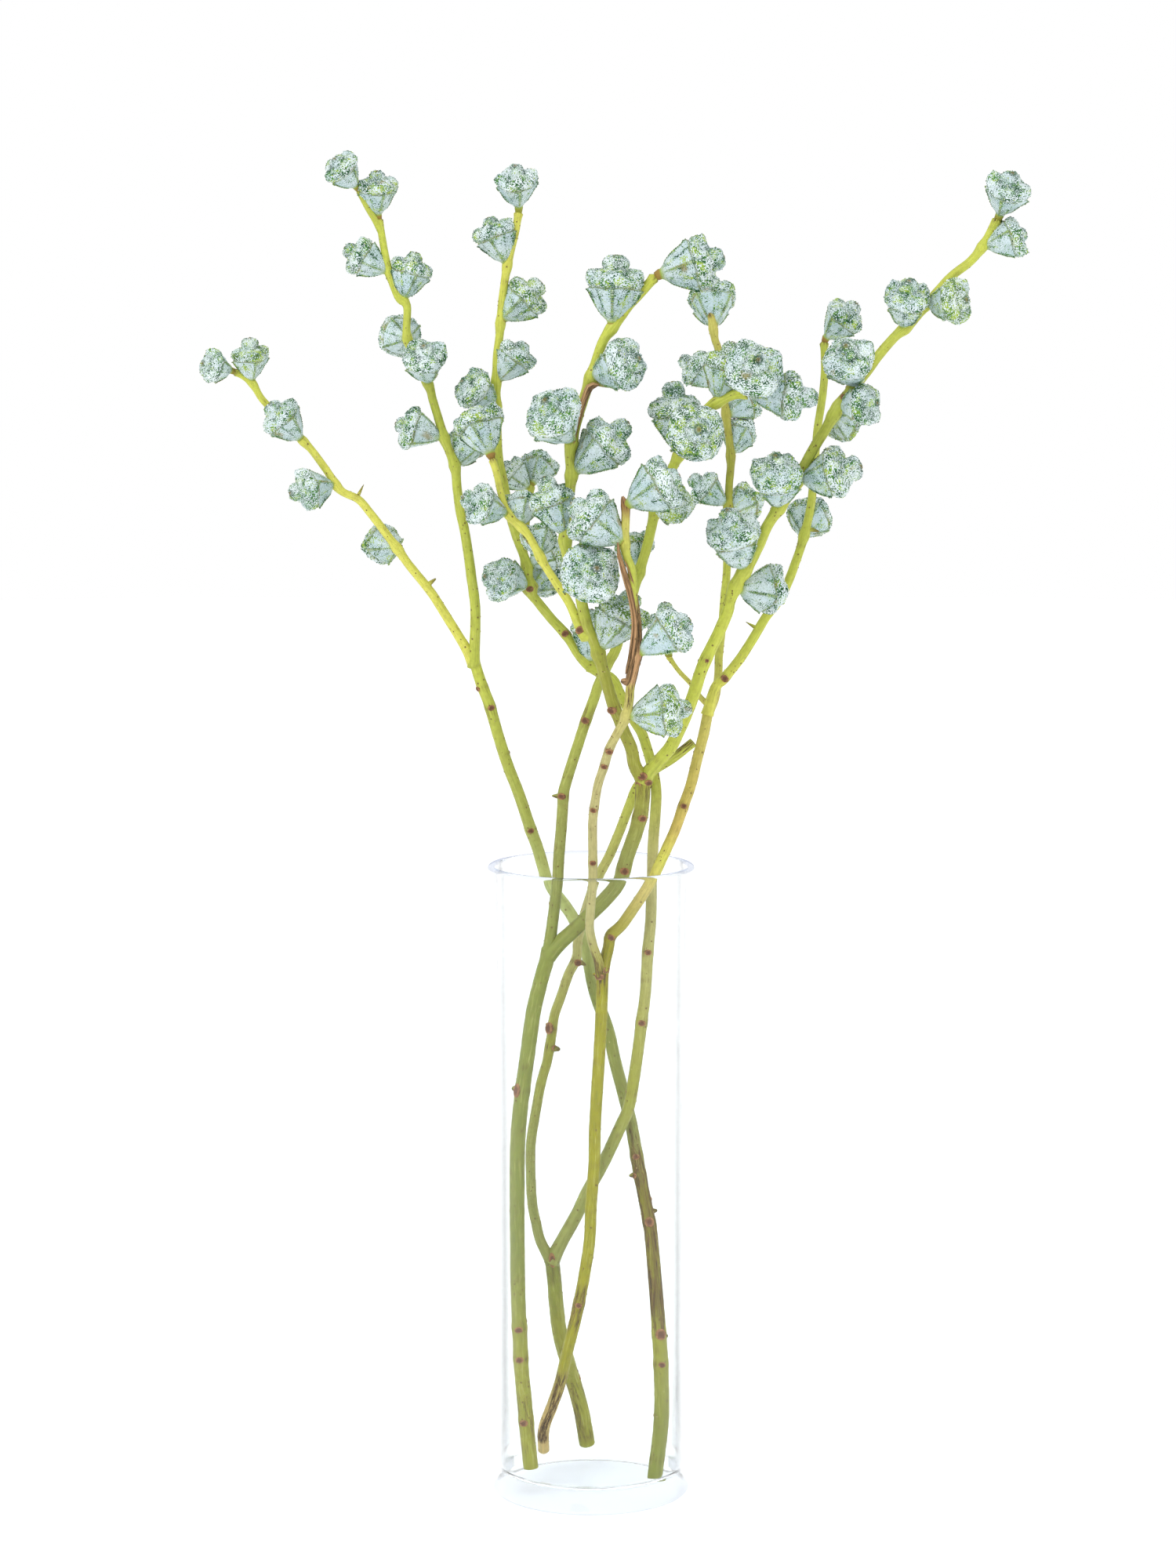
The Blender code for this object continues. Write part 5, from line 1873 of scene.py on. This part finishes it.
@dataclass
class Stem:
    """One cut stem with its limbs, nuts, buds, scars and lenticels."""

    name: str
    limbs: tuple
    nuts: tuple
    snags: tuple
    scar_spacing: float = 26 * MM
    scar_swelling: float = 0.08
    lenticel_spacing: float = 2.6 * MM
    bud_steps: int = 10
    bud_thickness: float = 0.62
    bud_swelling: float = 0.35
    bud_tip: float = 0.55
    scar_depth: float = 0.93
    scar_stain: float = 0.34
    hidden_scar_stain: float = 0.24
    scar_turn: float = math.radians(137.5)
    pore_depth: float = 0.99
    shapes: dict[str, LimbShape] = field(default_factory=dict)

    def lay_out(self) -> None:
        """Works out the limbs, and swells them where nuts and scars sit."""
        for limb in self.limbs:
            shape = LimbShape(limb, LIMB_TONES[limb.name])
            if self.shapes and not limb.name.endswith("_tip"):
                shape.flare_foot()
                shape.root_in(list(self.shapes.values()))
            self.shapes[limb.name] = shape
        for nut in self.nuts:
            shape = self.shapes[nut.limb]
            shape.swell_at(shape.nearest_seen(nut.base)[0], shape.swelling)
        for scar in self.scars():
            shape = self.shapes[scar.limb]
            shape.swell_at(shape.nearest_seen(scar.place)[0], self.scar_swelling)

    def scars(self) -> list[Scar]:
        """The leaf scars of the photograph that sit on this stem."""
        return [scar for scar in SCARS if scar.limb in self.shapes]

    def buds(self) -> list[LimbShape]:
        """The buds, stubs and thorns, as short limbs."""
        shapes = []
        for snag in self.snags:
            parent = self.shapes[snag.limb]
            tip = VIEW.place(*snag.tip, parent.behind(snag.tip[1]) + snag.lift * MM)
            root, _ = parent.nearest(tip)
            shape = LimbShape(Limb("bud", snag.root, snag.end, ((0, 1), (0, 0)),
                                   ((1, 0), (0, 0))), parent.tones)
            shares = [n / self.bud_steps for n in range(self.bud_steps + 1)]
            shape.points = [root.lerp(tip, share) for share in shares]
            shape.downs = [snag.tip[1]] * len(shares)
            shape.wear = [0.2 + 0.6 * share for share in shares]
            shape.radii = [(snag.root + (snag.end - snag.root) * share) * MM * self.bud_thickness
                           * (1 + self.bud_swelling * math.sin(math.pi * min(share * 1.1, 1)))
                           for share in shares]
            shape.radii[-1] *= self.bud_tip
            shapes.append(shape)
        return shapes

    def scar_spots(self, luck: random.Random) -> list[Spot]:
        """Places for leaf scars: those in the photograph, and more round the hidden sides."""
        spots = []
        for scar in self.scars():
            shape = self.shapes[scar.limb]
            index = shape.index_near(shape.nearest_seen(scar.place)[0])
            seen = VIEW.place(*scar.place, shape.points[index].y) - shape.points[index]
            sideways = min(max(seen.x / shape.radii[index], -0.9), 0.9)
            outward = Vector((sideways, -math.sqrt(1 - sideways ** 2), 0))
            size = scar.width * MM * 0.70
            spots.append(self.spot_on(shape, index, outward, self.scar_depth,
                                      (size * 0.8 * scar.tallness, size, size * 0.7)))
            shape.stain_at(index, self.scar_stain)
        for shape in self.shapes.values():
            reach = luck.uniform(0.3, 1) * self.scar_spacing
            travelled = 0.0
            azimuth = luck.uniform(0, math.tau)
            for index in range(1, len(shape.points) - 2):
                travelled += (shape.points[index] - shape.points[index - 1]).length
                if travelled < reach:
                    continue
                travelled = 0.0
                reach = self.scar_spacing * luck.uniform(0.7, 1.4)
                azimuth += self.scar_turn
                outward = Vector((math.cos(azimuth), abs(math.sin(azimuth)) + 0.15, 0))
                size = shape.radii[index] * luck.uniform(0.30, 0.48)
                spots.append(self.spot_on(shape, index, outward, self.scar_depth,
                                          (size * 0.8, size, size * 0.7)))
                shape.stain_at(index, self.hidden_scar_stain)
        return spots

    @staticmethod
    def spot_on(shape: LimbShape, index: int, outward: Vector, depth: float,
                size: tuple) -> Spot:
        """A spot on the bark, sunk in to a share of the limb's radius."""
        up = shape.direction(index)
        outward = (outward - up * outward.dot(up)).normalized()
        place = shape.points[index] + outward * shape.radii[index] * depth
        return Spot(place, outward, up, Vector(size))

    def lenticel_spots(self, luck: random.Random) -> list[Spot]:
        """Places for the small raised pores."""
        spots = []
        for shape in self.shapes.values():
            for _ in range(int(len(shape.points) * shape.spacing / self.lenticel_spacing)):
                index = luck.randrange(1, len(shape.points) - 2)
                turn = luck.uniform(0, math.tau)
                size = luck.uniform(0.13, 0.32) * MM
                outward = Vector((math.cos(turn), math.sin(turn), 0))
                spots.append(self.spot_on(shape, index, outward, self.pore_depth,
                                          (size * 1.7, size, size * 0.8)))
        return spots

    def build(self, finishes: dict[str, bpy.types.Material],
              shapes: dict[str, bpy.types.Object], seed: int) -> None:
        """Makes all the pieces of this stem.

        Args:
            finishes: Materials by name.
            shapes: Small shapes by name.
            seed: The seed of the random draws.
        """
        self.lay_out()
        luck = random.Random(seed)
        scar_spots = self.scar_spots(luck)
        bark = finishes["bark"]
        sweep(f"bark_{self.name}", list(self.shapes.values()), BARK_SECTION, bark, self.name)
        sweep(f"buds_{self.name}", self.buds(), BUD_SECTION, bark)
        for name, spots, shape in (("leaf_scars", scar_spots, "scar"),
                                   ("lenticels", self.lenticel_spots(luck), "pore")):
            dress(PointScatter.scatter(f"{name}_{self.name}", spots, shapes[shape],
                                       finishes[shape]), "stem_bark")
        turns = random.Random(self.name)
        sprays: dict[str, list[NutShape]] = {}
        for nut in self.nuts:
            turn = turns.uniform(0, math.tau / 4)
            shape = NutShape(nut, self.shapes[nut.limb], turn, luck)
            sprays.setdefault(nut.limb, []).append(shape)
        for number, (limb, nuts) in enumerate(sprays.items()):
            NutSpray(limb, nuts).build(self.name, finishes, shapes, seed * 10 + number)


def woody_strips(material: bpy.types.Material) -> None:
    """Lays the dried strips along their limbs."""
    shapes = []
    for limb in WOODY_STRIPS:
        shape = LimbShape(limb, ((limb.route[0][1], Tone.WOODY),))
        shape.wear = [0.8] * len(shape.points)
        shape.taper_tip(4 * MM, 0)
        shape.taper_tip(8 * MM)
        shapes.append(shape)
    sweep("woody_strips", shapes, STRIP_SECTION, material)


@dataclass
class Studio:
    """A white floor, soft light from all round and above, and the camera."""

    floor_radius: float = 6.0
    floor_level: float = -0.6 * MM
    world_strength: float = 0.92
    mirrored_strength: float = 0.6
    key_power: float = 22.0
    fill_power: float = 5.0
    aim: tuple = (0, 0, 0.42)

    def floor(self) -> None:
        """Makes the floor."""
        mesh = turned_mesh("floor", ((0.0, self.floor_level),
                                     (self.floor_radius, self.floor_level)), 96)
        mesh.materials.append(FloorFinish().material())
        if mesh.polygons[0].normal.z < 0:
            mesh.flip_normals()
        item = put_in_scene("floor", mesh)

    def world(self) -> None:
        """Makes a white surrounding, a little darker behind the photographer."""
        world = bpy.data.worlds.new("studio")
        world.use_nodes = True
        wiring = Wiring(world.node_tree)
        background = world.node_tree.nodes["Background"]
        way = wiring.node("ShaderNodeTexCoord").outputs["Generated"]
        parts = wiring.node("ShaderNodeSeparateXYZ", {"Vector": way}).outputs
        shade = wiring.times(wiring.ramp(parts["Y"], -0.15, -0.75),
                             wiring.ramp(parts["Z"], 0.35, -0.1))
        colour = wiring.blend((1.0, 1.0, 1.0), (shade, screen_colour(206, 214, 222)))
        wiring.feed(background.inputs["Color"], colour)
        plain = wiring.node("ShaderNodeBackground", {"Color": (1.0, 1.0, 1.0), "Strength": 1.0})
        path = wiring.node("ShaderNodeLightPath").outputs
        wiring.feed(background.inputs["Strength"],
                    wiring.ramp(path["Is Glossy Ray"], 0.0, 1.0, self.world_strength,
                                self.mirrored_strength))
        seen = wiring.sum("MAXIMUM", path["Is Camera Ray"], path["Is Transmission Ray"])
        mix = wiring.node("ShaderNodeMixShader", {0: seen, 1: background.outputs[0],
                                                  2: plain.outputs[0]})
        wiring.feed(world.node_tree.nodes["World Output"].inputs["Surface"], mix.outputs[0])
        bpy.context.scene.world = world

    def lamp(self, name: str, place: tuple, size: float, power: float) -> None:
        """Adds a soft square light that faces the nuts."""
        data = bpy.data.lights.new(name, "AREA")
        data.shape = "SQUARE"
        data.size = size
        data.energy = power
        item = put_in_scene(name, data)
        item.location = place
        way = Vector(self.aim) - Vector(place)
        item.rotation_euler = way.to_track_quat("-Z", "Y").to_euler()

    def build(self) -> None:
        """Sets up the studio."""
        self.floor()
        self.world()
        self.lamp("key", (-1.1, -1.5, 2.1), 1.1, self.key_power)
        self.lamp("fill", (1.6, -1.0, 1.0), 1.4, self.fill_power)
        scene = bpy.context.scene
        scene.camera = VIEW.camera()
        scene.view_settings.view_transform = "Standard"


SCAR_OUTLINE = ((0.0, -0.5), (1.0, -0.4), (1.0, 0.0), (0.93, 0.24), (0.78, 0.36), (0.60, 0.38),
                (0.38, 0.28), (0.0, 0.24))
PORE_OUTLINE = ((0.0, -0.4), (1.0, -0.2), (0.7, 0.7), (0.0, 1.0))
WART_OUTLINE = ((0.0, -0.4), (1.0, -0.2), (0.62, 0.66), (0.0, 1.0))


def small_shapes() -> dict[str, bpy.types.Object]:
    """Makes the small shapes that are set on points."""
    made = {}
    for name, outline, sides in (("scar", SCAR_OUTLINE, 12), ("pore", PORE_OUTLINE, 5),
                                 ("wart", WART_OUTLINE, 4), ("tooth", WART_OUTLINE, 5)):
        mesh = turned_mesh(f"shape_{name}", outline, sides)
        add_values(mesh, "core", "FLOAT",
                   [1 - math.hypot(v.co.x, v.co.y) for v in mesh.vertices])
        made[name] = put_in_scene(mesh.name, mesh)
    return made


def main() -> None:
    """Builds the looks of the whole piece."""
    logging.basicConfig(level=logging.INFO, format="%(name)s: %(message)s", stream=sys.stdout)
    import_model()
    Studio().build()
    Vase().build()
    finishes = {name: finish.material() for name, finish in (
        ("bloom", BloomFinish()), ("wart", WartFinish()), ("rim", RimFinish()),
        ("bark", BarkFinish()), ("scar", ScarFinish()), ("pore", PoreFinish()))}
    shapes = small_shapes()
    for number, stem in enumerate((
            Stem("stem_a", STEM_A_LIMBS, STEM_A_NUTS, STEM_A_SNAGS),
            Stem("stem_b", STEM_B_LIMBS, STEM_B_NUTS, STEM_B_SNAGS),
            Stem("stem_c", STEM_C_LIMBS, STEM_C_NUTS, STEM_C_SNAGS),
            Stem("stem_d", STEM_D_LIMBS, STEM_D_NUTS, STEM_D_SNAGS))):
        stem.build(finishes, shapes, FIRST_SEED + number)
    woody_strips(finishes["bark"])
    for shape in shapes.values():
        bpy.data.objects.remove(shape, do_unlink=True)


if __name__ == "__main__":
    main()
